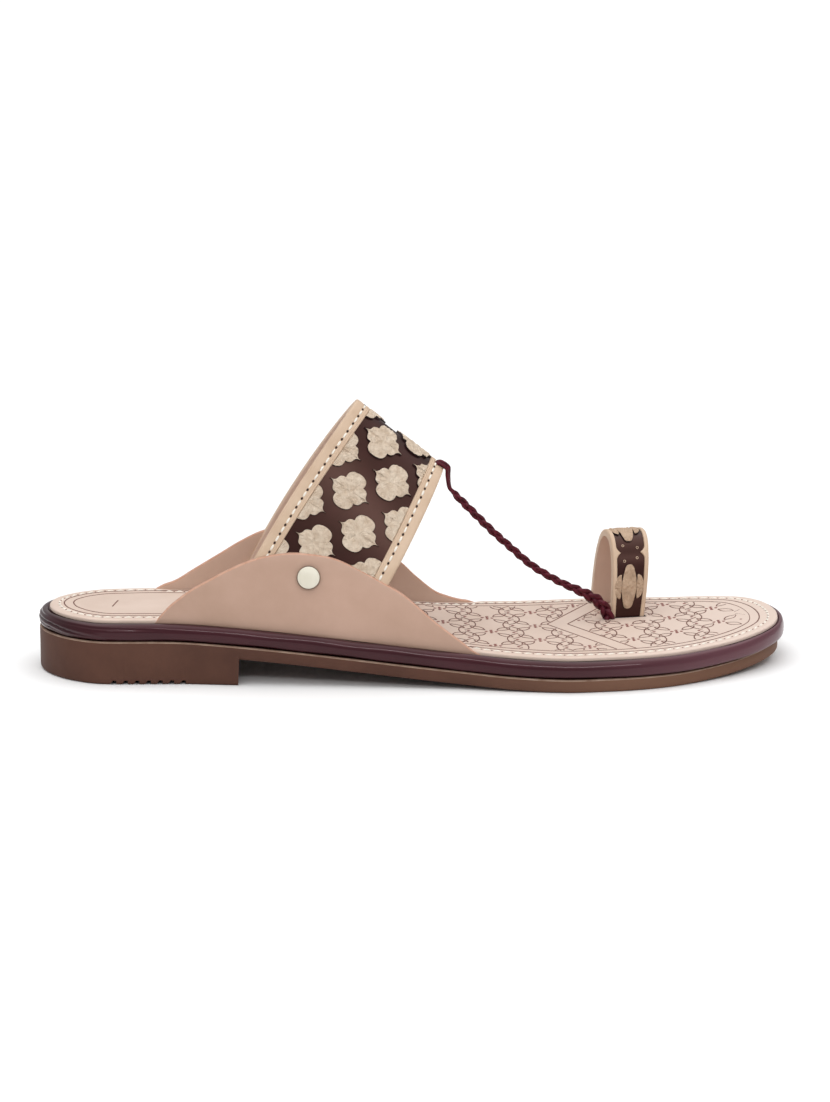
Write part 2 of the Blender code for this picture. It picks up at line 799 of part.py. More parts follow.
def make_rivet(name, side):
    """A rivet with a low domed cap outside and a flat head inside the strap."""
    centre, out = rivet_seat(side)
    lift = 2 * GAP
    inside = -(WING_THICKNESS + STRAP_THICKNESS + 4 * GAP)
    dome = [(RIVET_RADIUS * math.sin(a), lift + RIVET_RIM + RIVET_DOME * math.cos(a))
            for a in np.linspace(0.0, 0.5 * math.pi, 6)]
    dome[0] = (0.0, dome[0][1])
    profile = dome + [
        (RIVET_RADIUS, lift),
        (RIVET_SHANK, lift),
        (RIVET_SHANK, inside),
        (RIVET_HEAD_RADIUS, inside),
        (RIVET_HEAD_RADIUS, inside - RIVET_HEAD),
        (0.0, inside - RIVET_HEAD),
    ]
    return turned(name, profile, ROUND_STEPS, centre, out, PARTS, METAL)


# The toe ring
def ring_frame(leg=0):
    """Foot of a leg in plan, the way along the band's width and the way from the near leg to the far one."""
    across = np.array([-math.sin(RING_YAW), math.cos(RING_YAW)])
    forward = np.array([math.cos(RING_YAW), math.sin(RING_YAW)])
    y = float(side_y(MEDIAL, RING_X)) - RING_EDGE - RING_SPAN
    return np.array([RING_X, y]) + across * RING_SPAN * leg, forward, across


def ring_line(count):
    """The band's outer line as (reach from the near leg, height over the insole) pairs, legs included."""
    turn = np.pi * (0.5 - 0.5 * np.cos(np.linspace(0.0, np.pi, count))) * 0.35 + np.linspace(0.0, np.pi, count) * 0.65
    power = 2.0 / RING_POWER
    reach = np.abs(np.cos(turn)) ** power * np.sign(-np.cos(turn))
    rise = np.abs(np.sin(turn)) ** power
    rise[0] = rise[-1] = 0.0
    reach[0], reach[-1] = -1.0, 1.0
    line = np.stack([0.5 * RING_SPAN * (1.0 + reach), RING_HEIGHT * rise], axis=1)
    return np.vstack([[0.0, -INSOLE_THICKNESS], line, [RING_SPAN, -INSOLE_THICKNESS]])


def ring_place(reach, height, along):
    """A point of the band in the shoe's frame."""
    corner, forward, across = ring_frame()
    lean = RING_FORWARD * np.clip(height / RING_HEIGHT, 0.0, 1.0)
    x = corner[0] + forward[0] * (along + lean) + across[0] * reach
    y = corner[1] + forward[1] * (along + lean) + across[1] * reach
    ground = float(insole_top(RING_X))
    return np.stack([x, y, ground + height], axis=-1)


def make_ring():
    """The toe ring: an arched band with raised borders, its legs let into the insole."""
    line = ring_line(27)
    step = np.gradient(line, axis=0)
    out = np.stack([-step[:, 1], step[:, 0]], axis=1) / np.linalg.norm(step, axis=1)[:, None]
    out[:2] = (-1.0, 0.0)
    out[-2:] = (1.0, 0.0)
    height = np.clip(line[:, 1] / RING_HEIGHT, 0.0, 1.0)
    half = 0.5 * (RING_BASE_WIDTH + (RING_TOP_WIDTH - RING_BASE_WIDTH) * height)
    places = (-half, -half + RING_BORDER, -half + RING_BORDER + BORDER_SLOPE,
              half - RING_BORDER - BORDER_SLOPE, half - RING_BORDER, half)
    raised = (0.0, 0.0, -RING_RAISE, -RING_RAISE, 0.0, 0.0)
    outer, inner = [], []
    for along, deep in zip(places, raised):
        at = line + out * deep
        outer.append(ring_place(at[:, 0], at[:, 1], along))
        at = line - out * RING_THICKNESS
        inner.append(ring_place(at[:, 0], at[:, 1], along))
    outer, inner = np.stack(outer, axis=1), np.stack(inner, axis=1)
    points = np.vstack([outer.reshape(-1, 3), inner.reshape(-1, 3)])
    return new_object("toe_ring", points, shell_faces(len(line), len(places)), PARTS, RING_LEATHER)


def ring_slot(leg):
    """Cutter for the slot that one leg of the ring stands in."""
    corner, _, across = ring_frame(leg)
    inside = 1.0 if leg == 0 else -1.0
    middle = corner + across * 0.5 * RING_THICKNESS * inside
    size = (RING_BASE_WIDTH + 4 * GAP, RING_THICKNESS + 4 * GAP, 2 * (INSOLE_THICKNESS + CUT_PAST))
    return blocks(f"slot_{leg}", size, [(*middle, float(insole_top(RING_X)))], RING_YAW)


# The braid
def braid_end():
    """Where the braid goes into the insole, just behind the ring's near leg."""
    corner, _, _ = ring_frame()
    return corner[0] - BRAID_END_BEHIND, corner[1] - BRAID_END_OUT


def braid_path(count):
    """From just in front of the strap's front edge down to the insole beside the ring."""
    edge = strap_point(np.array([1.0]), np.array([0.47]))[0]
    start = edge + np.array([-0.06 * BRAID_RADIUS, 0.0, -0.78 * STRAP_THICKNESS])
    x, y = braid_end()
    end = np.array([x, y, float(insole_low(x)) + 0.5 * BRAID_RADIUS])
    run, drop = np.array(BRAID_COURSE).T
    nodes = np.stack([
        start[0] + (end[0] - start[0]) * run,
        start[1] + (end[1] - start[1]) * run,
        start[2] + (end[2] - start[2]) * drop,
    ], axis=1)
    return curve_through(nodes, count, False)


def make_braid():
    """Three strands round one another, as one closed wall."""
    count, sides = 110, 15
    path = braid_path(count)
    step = np.gradient(path, axis=0)
    step /= np.linalg.norm(step, axis=1)[:, None]
    run = np.concatenate([[0.0], np.cumsum(np.linalg.norm(np.diff(path, axis=0), axis=1))])
    aside = np.cross(step, [0.0, 1.0, 0.0])
    aside /= np.linalg.norm(aside, axis=1)[:, None]
    other = np.cross(step, aside)
    strand = STRAND_RADIUS
    offset = BRAID_RADIUS - STRAND_RADIUS
    angle = np.linspace(0.0, 2.0 * np.pi, sides, endpoint=False)
    rings = []
    for place, out, over, at in zip(path, aside, other, run):
        turn = 2.0 * np.pi * at / BRAID_LEAD
        radius = np.zeros(sides)
        for k in range(3):
            apart = angle - turn - k * 2.0 * np.pi / 3.0
            inner = strand**2 - (offset * np.sin(apart)) ** 2
            reach = offset * np.cos(apart) + np.sqrt(np.clip(inner, 0.0, None))
            radius = np.maximum(radius, np.where(inner > 0.0, reach, 0.0))
        rings.append(place + radius[:, None] * (np.cos(angle)[:, None] * out + np.sin(angle)[:, None] * over))
    points = np.vstack(rings + [path[:1], path[-1:]])
    faces = []
    for row in range(count - 1):
        for k in range(sides):
            a, b = row * sides + k, row * sides + (k + 1) % sides
            faces.append([a, b, b + sides, a + sides])
    first, last = count * sides, count * sides + 1
    for k in range(sides):
        m = (k + 1) % sides
        faces.append([m, k, first])
        faces.append([(count - 1) * sides + k, (count - 1) * sides + m, last])
    return new_object("braid", points, faces, PARTS, CORD, sharp=60.0)


def material(name, colour, roughness, metallic=0.0, coat=0.0):
    made = bpy.data.materials.new(name)
    made.use_nodes = True
    shader = made.node_tree.nodes["Principled BSDF"]
    shader.inputs["Base Color"].default_value = (*colour, 1.0)
    shader.inputs["Roughness"].default_value = roughness
    shader.inputs["Metallic"].default_value = metallic
    shader.inputs["Coat Weight"].default_value = coat
    made.diffuse_color = (*colour, 1.0)
    return made


for old in list(bpy.data.objects):
    bpy.data.objects.remove(old, do_unlink=True)

PARTS = bpy.data.collections.new("toe_ring_sandal")
HELPERS = bpy.data.collections.new("helpers")
HELPERS.hide_render = True
for holder in (PARTS, HELPERS):
    bpy.context.scene.collection.children.link(holder)

RUBBER = material("brown rubber", (0.11, 0.055, 0.037), 0.6)
ROLL = material("burgundy rand", (0.048, 0.012, 0.017), 0.3, coat=0.3)
TOP_SHEET = material("beige top sheet", (0.72, 0.52, 0.42), 0.55)
LEATHER = material("beige leather", (0.52, 0.34, 0.24), 0.5)
RING_LEATHER = material("beige ring leather", (0.62, 0.45, 0.31), 0.5)
CORD = material("burgundy cord", (0.09, 0.012, 0.02), 0.6)
METAL = material("pale gold metal", (0.83, 0.78, 0.62), 0.3, metallic=1.0)

make_outsole()
make_midsole()
make_insole()
make_upper()
make_ring()
make_braid()
make_rivet("rivet_lateral", LATERAL)
make_rivet("rivet_medial", MEDIAL)

# The origin goes to the middle of the outermost line, on the floor
outer_grid = layer_grid(0.0)
middle_x = 0.5 * float(outer_grid[..., 0].min() + outer_grid[..., 0].max())
middle_y = 0.5 * float(outer_grid[..., 1].min() + outer_grid[..., 1].max())
for moved in bpy.data.objects:
    moved.location.x -= middle_x
    moved.location.y -= middle_y
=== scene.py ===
"""Looks of the toe ring sandal: leather, thread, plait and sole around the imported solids.

Metres. The back of the heel is at x = 0 and the inner side of the foot towards +Y, and every mesh is moved
to the middle of the sole as it is made.
"""

import math

import bmesh
import bpy
import numpy as np
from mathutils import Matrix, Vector


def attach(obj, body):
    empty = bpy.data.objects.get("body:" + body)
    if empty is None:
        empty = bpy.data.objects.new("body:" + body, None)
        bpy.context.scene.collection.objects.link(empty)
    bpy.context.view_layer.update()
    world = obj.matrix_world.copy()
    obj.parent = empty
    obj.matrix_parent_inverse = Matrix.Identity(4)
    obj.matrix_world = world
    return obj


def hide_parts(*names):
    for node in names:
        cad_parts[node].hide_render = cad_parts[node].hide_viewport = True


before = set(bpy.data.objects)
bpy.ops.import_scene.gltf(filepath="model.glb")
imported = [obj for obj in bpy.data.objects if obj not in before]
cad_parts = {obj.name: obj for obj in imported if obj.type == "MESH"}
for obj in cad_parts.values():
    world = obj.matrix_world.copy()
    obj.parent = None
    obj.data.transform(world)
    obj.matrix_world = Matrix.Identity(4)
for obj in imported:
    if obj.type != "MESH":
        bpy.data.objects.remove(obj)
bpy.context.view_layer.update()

# Camera of the photograph
IMAGE_HEIGHT = 1102
FOCAL_PIXELS = 3501.6
SENSOR = 36.0
CAMERA_AZIMUTH = math.radians(-3.0)
CAMERA_ELEVATION = math.radians(12.5)
CAMERA_DISTANCE = 1.2
CAMERA_TARGET = (0.0, -0.00465, 0.04)

# Sizes of the shoe, as in its solids
LENGTH = 0.258
BALL_WIDTH = 0.0928
HEEL_WIDTH = 0.0546
INSTEP_REAR_HEIGHT = 0.0701
INSTEP_FRONT_HEIGHT = 0.0506
SEAT_RISE = 0.0103
TOE_SPRING = 0.004
GAP = 0.0003
OUTSOLE_THICKNESS = 0.0045
OUTSOLE_INSET = 0.0001
TOE_INSET = 0.002
MIDSOLE_THICKNESS = 0.0054
INSOLE_THICKNESS = 0.0014
ROLL_WIDTH = 0.0032
ROLL_TUCK = 1.03
HEEL_BLOCK_LENGTH = 0.068
BREAST_RUN = 0.0004
TREAD_PITCH = 0.0039
TREAD_HALF = 0.00156
TREAD_DEPTH = 0.00117
TREAD_REACH = (0.003, -0.005)
TREAD_COUNT = 7
TREAD_START = 0.0255
WING_HEIGHT = 0.0257
WING_THICKNESS = 0.0023
STRAP_THICKNESS = 0.0022
STRAP_REAR_BASE = 0.0653
STRAP_REAR_APEX = 0.1089
STRAP_FRONT_BASE = 0.1115
STRAP_FRONT_APEX = 0.1389
STRAP_REAR_BOW = 0.256
STRAP_FRONT_BOW = -0.15
STRAP_SKEW = 0.09
STRAP_EMBED = 0.0009
STRAP_CLEAR = 0.0009
ARCH_POWER = 1.8
BORDER_WIDTH = 0.0057
BORDER_RAISE = 0.0009
MOTIF_RAISE = 0.00075
UNDER_BORDER = 0.0004
MOTIF_WIDTH = 0.0142
MOTIF_LENGTH = 0.0136
MOTIF_STEP = 0.022
RING_X = 0.2045
RING_EDGE = 0.0087
RING_SPAN = 0.026
RING_HEIGHT = 0.0288
RING_BASE_WIDTH = 0.0120
RING_TOP_WIDTH = 0.0136
RING_THICKNESS = 0.0024
RING_YAW = math.radians(11.0)
RING_POWER = 2.4
RING_FORWARD = 0.0026
BRAID_END_BEHIND = 0.0069
BRAID_END_OUT = 0.0022
RIVET_X = 0.092
RIVET_RISE = 0.0181

# Outermost line of the rolled edge: share of the length, and both half widths over half the width there
OUTLINE = (
    # along, lateral, medial
    (0.006, 0.24, 0.38),
    (0.020, 0.50, 0.60),
    (0.043, 0.75, 0.80),
    (0.078, 0.95, 0.95),
    (0.124, 1.00, 0.99),
    (0.194, 1.01, 1.00),
    (0.271, 1.035, 1.00),
    (0.380, 0.985, 0.93),
    (0.473, 0.94, 0.90),
    (0.554, 0.93, 0.90),
    (0.616, 0.965, 0.93),
    (0.686, 1.00, 0.975),
    (0.733, 0.988, 1.005),
    (0.787, 0.945, 1.025),
    (0.837, 0.858, 1.025),
    (0.891, 0.703, 0.990),
    (0.934, 0.545, 0.895),
    (0.969, 0.360, 0.735),
    (0.992, 0.150, 0.465),
)
HEEL_POINT = 0.08
TOE_POINT = 0.135
WIDTH_BLEND = (0.15, 0.70)
HEEL_ARC = 0.05
TOE_ARC = 0.93
SEAT_SHARES = (0.135, 0.70)
SPRING_SHARE = 0.83

# Top edge of each wing: share of the length and share of the wing height
WING_TOP_LATERAL = (
    # along, height
    (0.155, 0.012),
    (0.178, 0.20),
    (0.202, 0.39),
    (0.229, 0.56),
    (0.254, 0.71),
    (0.285, 0.865),
    (0.315, 0.958),
    (0.345, 1.00),
    (0.383, 0.99),
    (0.412, 0.91),
    (0.455, 0.73),
    (0.482, 0.60),
    (0.518, 0.33),
    (0.548, 0.13),
    (0.564, 0.04),
    (0.578, 0.012),
)
WING_TOP_MEDIAL = (
    # along, height
    (0.145, 0.012),
    (0.177, 0.10),
    (0.206, 0.28),
    (0.240, 0.50),
    (0.270, 0.70),
    (0.299, 0.86),
    (0.330, 0.95),
    (0.365, 0.985),
    (0.400, 0.93),
    (0.440, 0.78),
    (0.482, 0.575),
    (0.508, 0.345),
    (0.532, 0.155),
    (0.548, 0.085),
    (0.572, 0.025),
    (0.600, 0.012),
)

# Course of the braid: share of the run forward and share of the drop
BRAID_COURSE = (
    # run, drop
    (0.000, 0.000),
    (0.022, 0.043),
    (0.068, 0.114),
    (0.184, 0.247),
    (0.294, 0.370),
    (0.412, 0.490),
    (0.534, 0.609),
    (0.681, 0.714),
    (0.826, 0.796),
    (0.902, 0.843),
    (0.951, 0.888),
    (0.988, 0.945),
    (1.000, 1.000),
)

# Quatrefoils on the strap, in columns: distance from its rear edge, and of the first one from its apex
MOTIF_COLUMNS = (
    # across, first, count
    (0.0051, -0.0633, 6),
    (0.0154, -0.0523, 6),
    (0.0257, -0.0633, 6),
    (0.0360, -0.0523, 5),
)

ROWS = 150
ACROSS = 56
DENSE = 1400
FINE = 600
STRAP_TURNS = (0.012, 0.988)

LATERAL = -1
MEDIAL = 1


def smooth(share):
    share = np.clip(share, 0.0, 1.0)
    return share * share * (3.0 - 2.0 * share)


def curve_through(points, count, closed):
    """A smooth line through the points, as evenly spaced points."""
    points = np.asarray(points, float)
    if closed:
        points = np.vstack([points[-1], points, points[0], points[1]])
    else:
        points = np.vstack([2 * points[0] - points[1], points, 2 * points[-1] - points[-2]])
    t = np.linspace(0.0, 1.0, 24, endpoint=False)[:, None]
    dense = []
    for a, b, c, d in zip(points[:-3], points[1:-2], points[2:-1], points[3:]):
        dense.append(0.5 * (2 * b + (c - a) * t + (2 * a - 5 * b + 4 * c - d) * t**2
                            + (3 * b - a - 3 * c + d) * t**3))
    dense = np.vstack(dense + [points[-2:-1]])
    return spaced(dense, count + 1)[:-1] if closed else spaced(dense, count)


def unit(ways):
    return ways / np.linalg.norm(ways, axis=-1)[..., None]


def run_along(line):
    return np.concatenate([[0.0], np.cumsum(np.linalg.norm(np.diff(line, axis=0), axis=1))])


def spaced(line, count):
    run = run_along(line)
    at = np.linspace(0.0, run[-1], count)
    return np.stack([np.interp(at, run, line[:, k]) for k in range(line.shape[1])], axis=1)


# Outline of the sole
def half_width(along):
    blend = smooth((along - WIDTH_BLEND[0]) / (WIDTH_BLEND[1] - WIDTH_BLEND[0]))
    return 0.5 * (HEEL_WIDTH * (1.0 - blend) + BALL_WIDTH * blend)


def edge_line():
    """The outermost line, from the back of the heel along the lateral side to the toe and back."""
    along, lateral, medial = np.array(OUTLINE).T
    lateral_side = np.stack([along * LENGTH, -lateral * half_width(along)], axis=1)
    medial_side = np.stack([along * LENGTH, medial * half_width(along)], axis=1)
    heel = [[0.0, HEEL_POINT * half_width(0.0)]]
    toe = [[LENGTH, TOE_POINT * half_width(1.0)]]
    line = curve_through(np.vstack([heel, lateral_side, toe, medial_side[::-1]]), DENSE, True)
    line[:, 0] = (line[:, 0] - line[:, 0].min()) * LENGTH / np.ptp(line[:, 0])
    return line


EDGE = edge_line()
TURN = np.roll(EDGE, -2, axis=0) - np.roll(EDGE, 2, axis=0)
OUTWARD = unit(np.stack([TURN[:, 1], -TURN[:, 0]], axis=1))
EDGE_SIDE = np.where(np.arange(DENSE) < int(np.argmax(EDGE[:, 0])), LATERAL, MEDIAL)
MIDDLE = 0.5 * (EDGE.min(axis=0) + EDGE.max(axis=0))


def inset_line(inset):
    """The outermost line drawn in by a length, or by a length that depends on the place and the side."""
    amount = inset(EDGE[:, 0], EDGE_SIDE) if callable(inset) else np.full(DENSE, inset)
    return EDGE - OUTWARD * amount[:, None]


def sides_of(line):
    """The two sides of an outline, each from heel to toe."""
    toe = int(np.argmax(line[:, 0]))
    heel = int(np.argmin(np.where(np.arange(DENSE) < DENSE // 4, line[:, 0], np.inf)))
    ring = np.roll(line, -heel, axis=0)
    toe = (toe - heel) % DENSE
    return ring[: toe + 1], np.vstack([ring[toe:], ring[:1]])[::-1]


def side_y(side, x, inset=0.0):
    """Where one side of the outline is at x, in y."""
    line = sides_of(inset_line(inset))[0 if side == LATERAL else 1]
    order = np.argsort(line[:, 0], kind="stable")
    return np.interp(x, line[order, 0], line[order, 1])


RING_CORNER = float(side_y(MEDIAL, RING_X)) - RING_EDGE - RING_SPAN


def stations():
    """Places of the rows along the shoe, with a pair at the front face of the heel block."""
    before = int(round(ROWS * 0.26))
    rear = np.linspace(HEEL_ARC * LENGTH, HEEL_BLOCK_LENGTH, before)
    front = np.linspace(HEEL_BLOCK_LENGTH + BREAST_RUN, TOE_ARC * LENGTH, ROWS - before)
    return np.concatenate([rear, front])


STATIONS = stations()


def layer_grid(inset):
    """ROWS x (ACROSS + 1) points in plan: rows straight across, but the first and last follow the outline."""
    lateral, medial = sides_of(inset_line(inset))
    ends = []
    for side in (lateral, medial):
        order = np.argsort(side[:, 0], kind="stable")
        ends.append(np.interp(STATIONS, side[order, 0], side[order, 1]))
    share = np.linspace(0.0, 1.0, ACROSS + 1)
    grid = np.empty((ROWS, ACROSS + 1, 2))
    grid[:, :, 0] = STATIONS[:, None]
    grid[:, :, 1] = ends[0][:, None] * (1 - share) + ends[1][:, None] * share
    near, far = lateral[lateral[:, 0] < STATIONS[0]], medial[medial[:, 0] < STATIONS[0]]
    grid[0] = spaced(np.vstack([grid[0, 0], near[::-1], far, grid[0, -1]]), ACROSS + 1)
    near, far = lateral[lateral[:, 0] > STATIONS[-1]], medial[medial[:, 0] > STATIONS[-1]]
    grid[-1] = spaced(np.vstack([grid[-1, 0], near, far[::-1], grid[-1, -1]]), ACROSS + 1)
    return grid


def boundary(rows, columns):
    """Indices of a grid's rim, in order."""
    index = np.arange(rows * columns).reshape(rows, columns)
    return np.concatenate([index[:, 0], index[-1, 1:], index[-2::-1, -1], index[0, -2:0:-1]])


def quads(rows, columns, start=0):
    index = np.arange(rows * columns).reshape(rows, columns) + start
    corners = (index[:-1, :-1], index[1:, :-1], index[1:, 1:], index[:-1, 1:])
    return np.stack(corners, axis=-1).reshape(-1, 4)


def tube_faces(rings, sides):
    """Faces of an open tube of closed rings."""
    index = np.arange(rings * sides).reshape(rings, sides)
    after = np.roll(index, -1, axis=1)
    return np.stack([index[:-1], after[:-1], after[1:], index[1:]], axis=-1).reshape(-1, 4)


def closed_tube(rings):
    """Points and faces of a tube of rings with flat ends."""
    count, sides = rings.shape[:2]
    ends = [list(range(sides)), list(range((count - 1) * sides, count * sides))]
    return rings.reshape(-1, 3), tube_faces(count, sides).tolist() + ends


def joined(parts):
    """Points and faces of several meshes as one."""
    faces, start = [], 0
    for points, some in parts:
        faces += [[corner + start for corner in face] for face in some]
        start += len(points)
    return np.vstack([points for points, _ in parts]), faces


# Heights of the layers over the length
def under(x):
    """Height of the sole's lower side in front of the heel block."""
    share = x / LENGTH
    seat = 1.0 - smooth((share - SEAT_SHARES[0]) / (SEAT_SHARES[1] - SEAT_SHARES[0]))
    spring = np.clip((share - SPRING_SHARE) / (1.0 - SPRING_SHARE), 0.0, 1.0) ** 2
    return SEAT_RISE * seat + TOE_SPRING * spring


def outsole_bottom(x):
    return np.where(x <= HEEL_BLOCK_LENGTH + 0.1 * BREAST_RUN, 0.0, under(x))


def outsole_top(x):
    return under(x) + OUTSOLE_THICKNESS


def tray_floor(x):
    return outsole_top(x) + MIDSOLE_THICKNESS


def insole_low(x):
    return tray_floor(x) + GAP


def insole_top(x):
    return insole_low(x) + INSOLE_THICKNESS


def roll_inset(x):
    return ROLL_WIDTH * (1.0 - 0.4 * smooth((x / LENGTH - 0.86) / 0.14))


def outsole_inset(x):
    return OUTSOLE_INSET + TOE_INSET * smooth((x / LENGTH - 0.72) / 0.28)


# Making pieces
def mesh_of(name, points, faces):
    """A mesh with its faces turned outward."""
    mesh = bpy.data.meshes.new(name)
    mesh.from_pydata(np.asarray(points, float).tolist(), [], [list(map(int, face)) for face in faces])
    build = bmesh.new()
    build.from_mesh(mesh)
    bmesh.ops.recalc_face_normals(build, faces=build.faces)
    build.to_mesh(mesh)
    build.free()
    return mesh


def linked(name, data):
    made = bpy.data.objects.new(name, data)
    bpy.context.scene.collection.objects.link(made)
    return made


def aim(made, place, way):
    """Sets an object at a place, looking along a way."""
    made.location = place
    made.rotation_mode = "QUATERNION"
    made.rotation_quaternion = way.to_track_quat("-Z", "Y")


def piece(name, points, faces, materials, node, slot, face_material=None, sharp=40.0):
    """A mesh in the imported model's frame, riding on the body."""
    mesh = mesh_of(name, np.asarray(points, float) - (MIDDLE[0], MIDDLE[1], 0.0), faces)
    for each in materials:
        mesh.materials.append(each)
    if face_material is not None:
        mesh.polygons.foreach_set("material_index", np.asarray(face_material, np.int32))
    mesh.polygons.foreach_set("use_smooth", [True] * len(mesh.polygons))
    mesh.set_sharp_from_angle(angle=math.radians(sharp))
    made = linked(name, mesh)
    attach(made, "root")
    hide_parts(node)
    return made


def layer(rings):
    """Points and faces of a closed layer of the sole from its rings (inset, height), both ends capped."""
    rim = boundary(ROWS, ACROSS + 1)
    solid = []
    for inset, height in rings:
        grid = layer_grid(inset)
        solid.append(np.concatenate([grid, height(grid[..., 0])[..., None]], axis=-1).reshape(-1, 3))
    points = [solid[0]]
    loops = [rim]
    start = ROWS * (ACROSS + 1)
    for body in solid[1:-1]:
        points.append(body[rim])
        loops.append(np.arange(len(rim)) + start)
        start += len(rim)
    points.append(solid[-1])
    loops.append(rim + start)
    faces = [quads(ROWS, ACROSS + 1), quads(ROWS, ACROSS + 1, start)[:, ::-1]]
    for low, high in zip(loops[:-1], loops[1:]):
        faces.append(np.stack([low, high, np.roll(high, -1), np.roll(low, -1)], axis=1))
    return np.vstack(points), np.vstack(faces)


WAVES = 9


def ripple(points, scale, seed):
    """Smooth noise from -1 to 1 at each point, from a few turned waves."""
    rng = np.random.default_rng(seed)
    total = np.zeros(len(points))
    for _ in range(WAVES):
        way = unit(rng.normal(size=3))
        pitch = 2 * math.pi / scale * rng.uniform(0.6, 1.6)
        total += np.sin(points @ way * pitch + rng.uniform(0, 2 * math.pi))
    return total / math.sqrt(WAVES)


# Materials
TONE_BAND = (0.3, 0.7)


def srgb(text):
    """Linear colour from a hexadecimal one."""
    parts = [int(text[k:k + 2], 16) / 255.0 for k in (1, 3, 5)]
    return tuple(p / 12.92 if p <= 0.04045 else ((p + 0.055) / 1.055) ** 2.4 for p in parts) + (1.0,)


def new_material(name, roughness, coat=0.0, coat_roughness=0.3, specular=0.5, tint="#FFFFFF"):
    made = bpy.data.materials.new(name)
    made.use_nodes = True
    shader = made.node_tree.nodes["Principled BSDF"]
    for socket, value in (
        ("Roughness", roughness),
        ("Coat Weight", coat),
        ("Coat Roughness", coat_roughness),
        ("Specular IOR Level", specular),
        ("Specular Tint", srgb(tint)),
    ):
        shader.inputs[socket].default_value = value
    return made, made.node_tree, shader


def add(tree, kind, **values):
    node = tree.nodes.new(kind)
    for key, value in values.items():
        if key in node.inputs:
            node.inputs[key].default_value = value
        else:
            setattr(node, key, value)
    return node


def coordinates(tree, scale):
    where = add(tree, "ShaderNodeTexCoord")
    mapping = add(tree, "ShaderNodeMapping", Scale=scale)
    tree.links.new(where.outputs["Object"], mapping.inputs["Vector"])
    return mapping.outputs["Vector"]


def mottled(tree, shader, dark, light, scale, vector):
    """Colour that drifts between two tones."""
    noise = add(tree, "ShaderNodeTexNoise", Scale=scale, Detail=5.0, Roughness=0.6)
    ramp = add(tree, "ShaderNodeValToRGB")
    for stop, place, tone in zip(ramp.color_ramp.elements, TONE_BAND, (dark, light)):
        stop.position, stop.color = place, srgb(tone)
    tree.links.new(vector, noise.inputs["Vector"])
    tree.links.new(noise.outputs["Fac"], ramp.inputs["Fac"])
    tree.links.new(ramp.outputs["Color"], shader.inputs["Base Color"])


def grain(tree, shader, vector, layers):
    """Bump from layers of (texture, scale, distance in metres, strength)."""
    before = None
    for texture, scale, distance, strength in layers:
        if texture == "cells":
            source = add(tree, "ShaderNodeTexVoronoi", Scale=scale)
            source.feature = "SMOOTH_F1"
            height = source.outputs["Distance"]
        else:
            source = add(tree, "ShaderNodeTexNoise", Scale=scale, Detail=6.0, Roughness=0.62)
            height = source.outputs["Fac"]
        tree.links.new(vector, source.inputs["Vector"])
        bump = add(tree, "ShaderNodeBump", Strength=strength, Distance=distance)
        tree.links.new(height, bump.inputs["Height"])
        if before:
            tree.links.new(before.outputs["Normal"], bump.inputs["Normal"])
        before = bump
    tree.links.new(before.outputs["Normal"], shader.inputs["Normal"])


def leather(name, dark, light, roughness, layers, scale=90.0, stretch=(1.0, 1.0, 1.0), **gloss):
    made, tree, shader = new_material(name, roughness, **gloss)
    vector = coordinates(tree, stretch)
    mottled(tree, shader, dark, light, scale, vector)
    grain(tree, shader, vector, layers)
    return made


def paint_light_along(made, tone, ends):
    """Painted light: lets a leather's colour go over to a lighter tone between two places along the shoe, so
    its toe end looks more brightly lit.
    """
    tree = made.node_tree
    base = tree.nodes["Principled BSDF"].inputs["Base Color"]
    split = add(tree, "ShaderNodeSeparateXYZ")
    share = add(tree, "ShaderNodeMapRange", interpolation_type="SMOOTHSTEP")
    share.inputs["From Min"].default_value, share.inputs["From Max"].default_value = ends
    blend = add(tree, "ShaderNodeMix", data_type="RGBA")
    blend.inputs[7].default_value = srgb(tone)
    where = add(tree, "ShaderNodeTexCoord")
    tree.links.new(where.outputs["Object"], split.inputs["Vector"])
    tree.links.new(split.outputs["X"], share.inputs["Value"])
    tree.links.new(share.outputs["Result"], blend.inputs[0])
    tree.links.new(base.links[0].from_socket, blend.inputs[6])
    tree.links.new(blend.outputs[2], base)


FINE_GRAIN = (("cells", 2600.0, 0.00004, 0.25), ("noise", 900.0, 0.00006, 0.25))
DULL_GRAIN = (("noise", 1500.0, 0.00005, 0.4),)
RUBBER = leather("moulded rubber", "#4D3127", "#5A3B2F", 0.6,
                 (("noise", 1500.0, 0.00005, 0.35), ("noise", 160.0, 0.0001, 0.2)), scale=45.0, specular=0.2)
# Painted light: the outsole goes lighter towards the toe, where more light falls.
paint_light_along(RUBBER, "#70503F", (0.0, 0.08))
# Painted highlight: a pale rubber for the rounded upper lip of the outsole, where light catches it.
RUBBER_LIP_HIGHLIGHT = leather("painted highlight on rubber lip", "#7D6152", "#A08877", 0.65,
                      (("noise", 1500.0, 0.0001, 0.5),), scale=260.0, specular=0.25)
ROLL = leather("burgundy rand leather", "#260B11", "#36131B", 0.3,
               (("cells", 2400.0, 0.00003, 0.2), ("noise", 160.0, 0.0003, 0.3)), scale=70.0,
               stretch=(0.4, 1.0, 1.0), coat=0.3, coat_roughness=0.08, specular=0.42, tint="#DDA0A6")
# Painted light: the rand goes lighter towards the toe, where more light falls.
paint_light_along(ROLL, "#5A3840", (0.04, 0.12))
GROUND = leather("burgundy strap leather", "#170607", "#270C11", 0.3,
                 (("cells", 2200.0, 0.00003, 0.2), ("noise", 300.0, 0.0001, 0.15)),
                 coat=0.08, coat_roughness=0.25, specular=0.6, tint="#EAB19D")
BEIGE = leather("beige border leather", "#C2A68C", "#CFB59C", 0.5, FINE_GRAIN)
MOTIF = leather("crumpled beige leather", "#C7B098", "#E2D1BD", 0.55,
                (("noise", 620.0, 0.0012, 1.0), ("cells", 3000.0, 0.00005, 0.3)), scale=420.0)
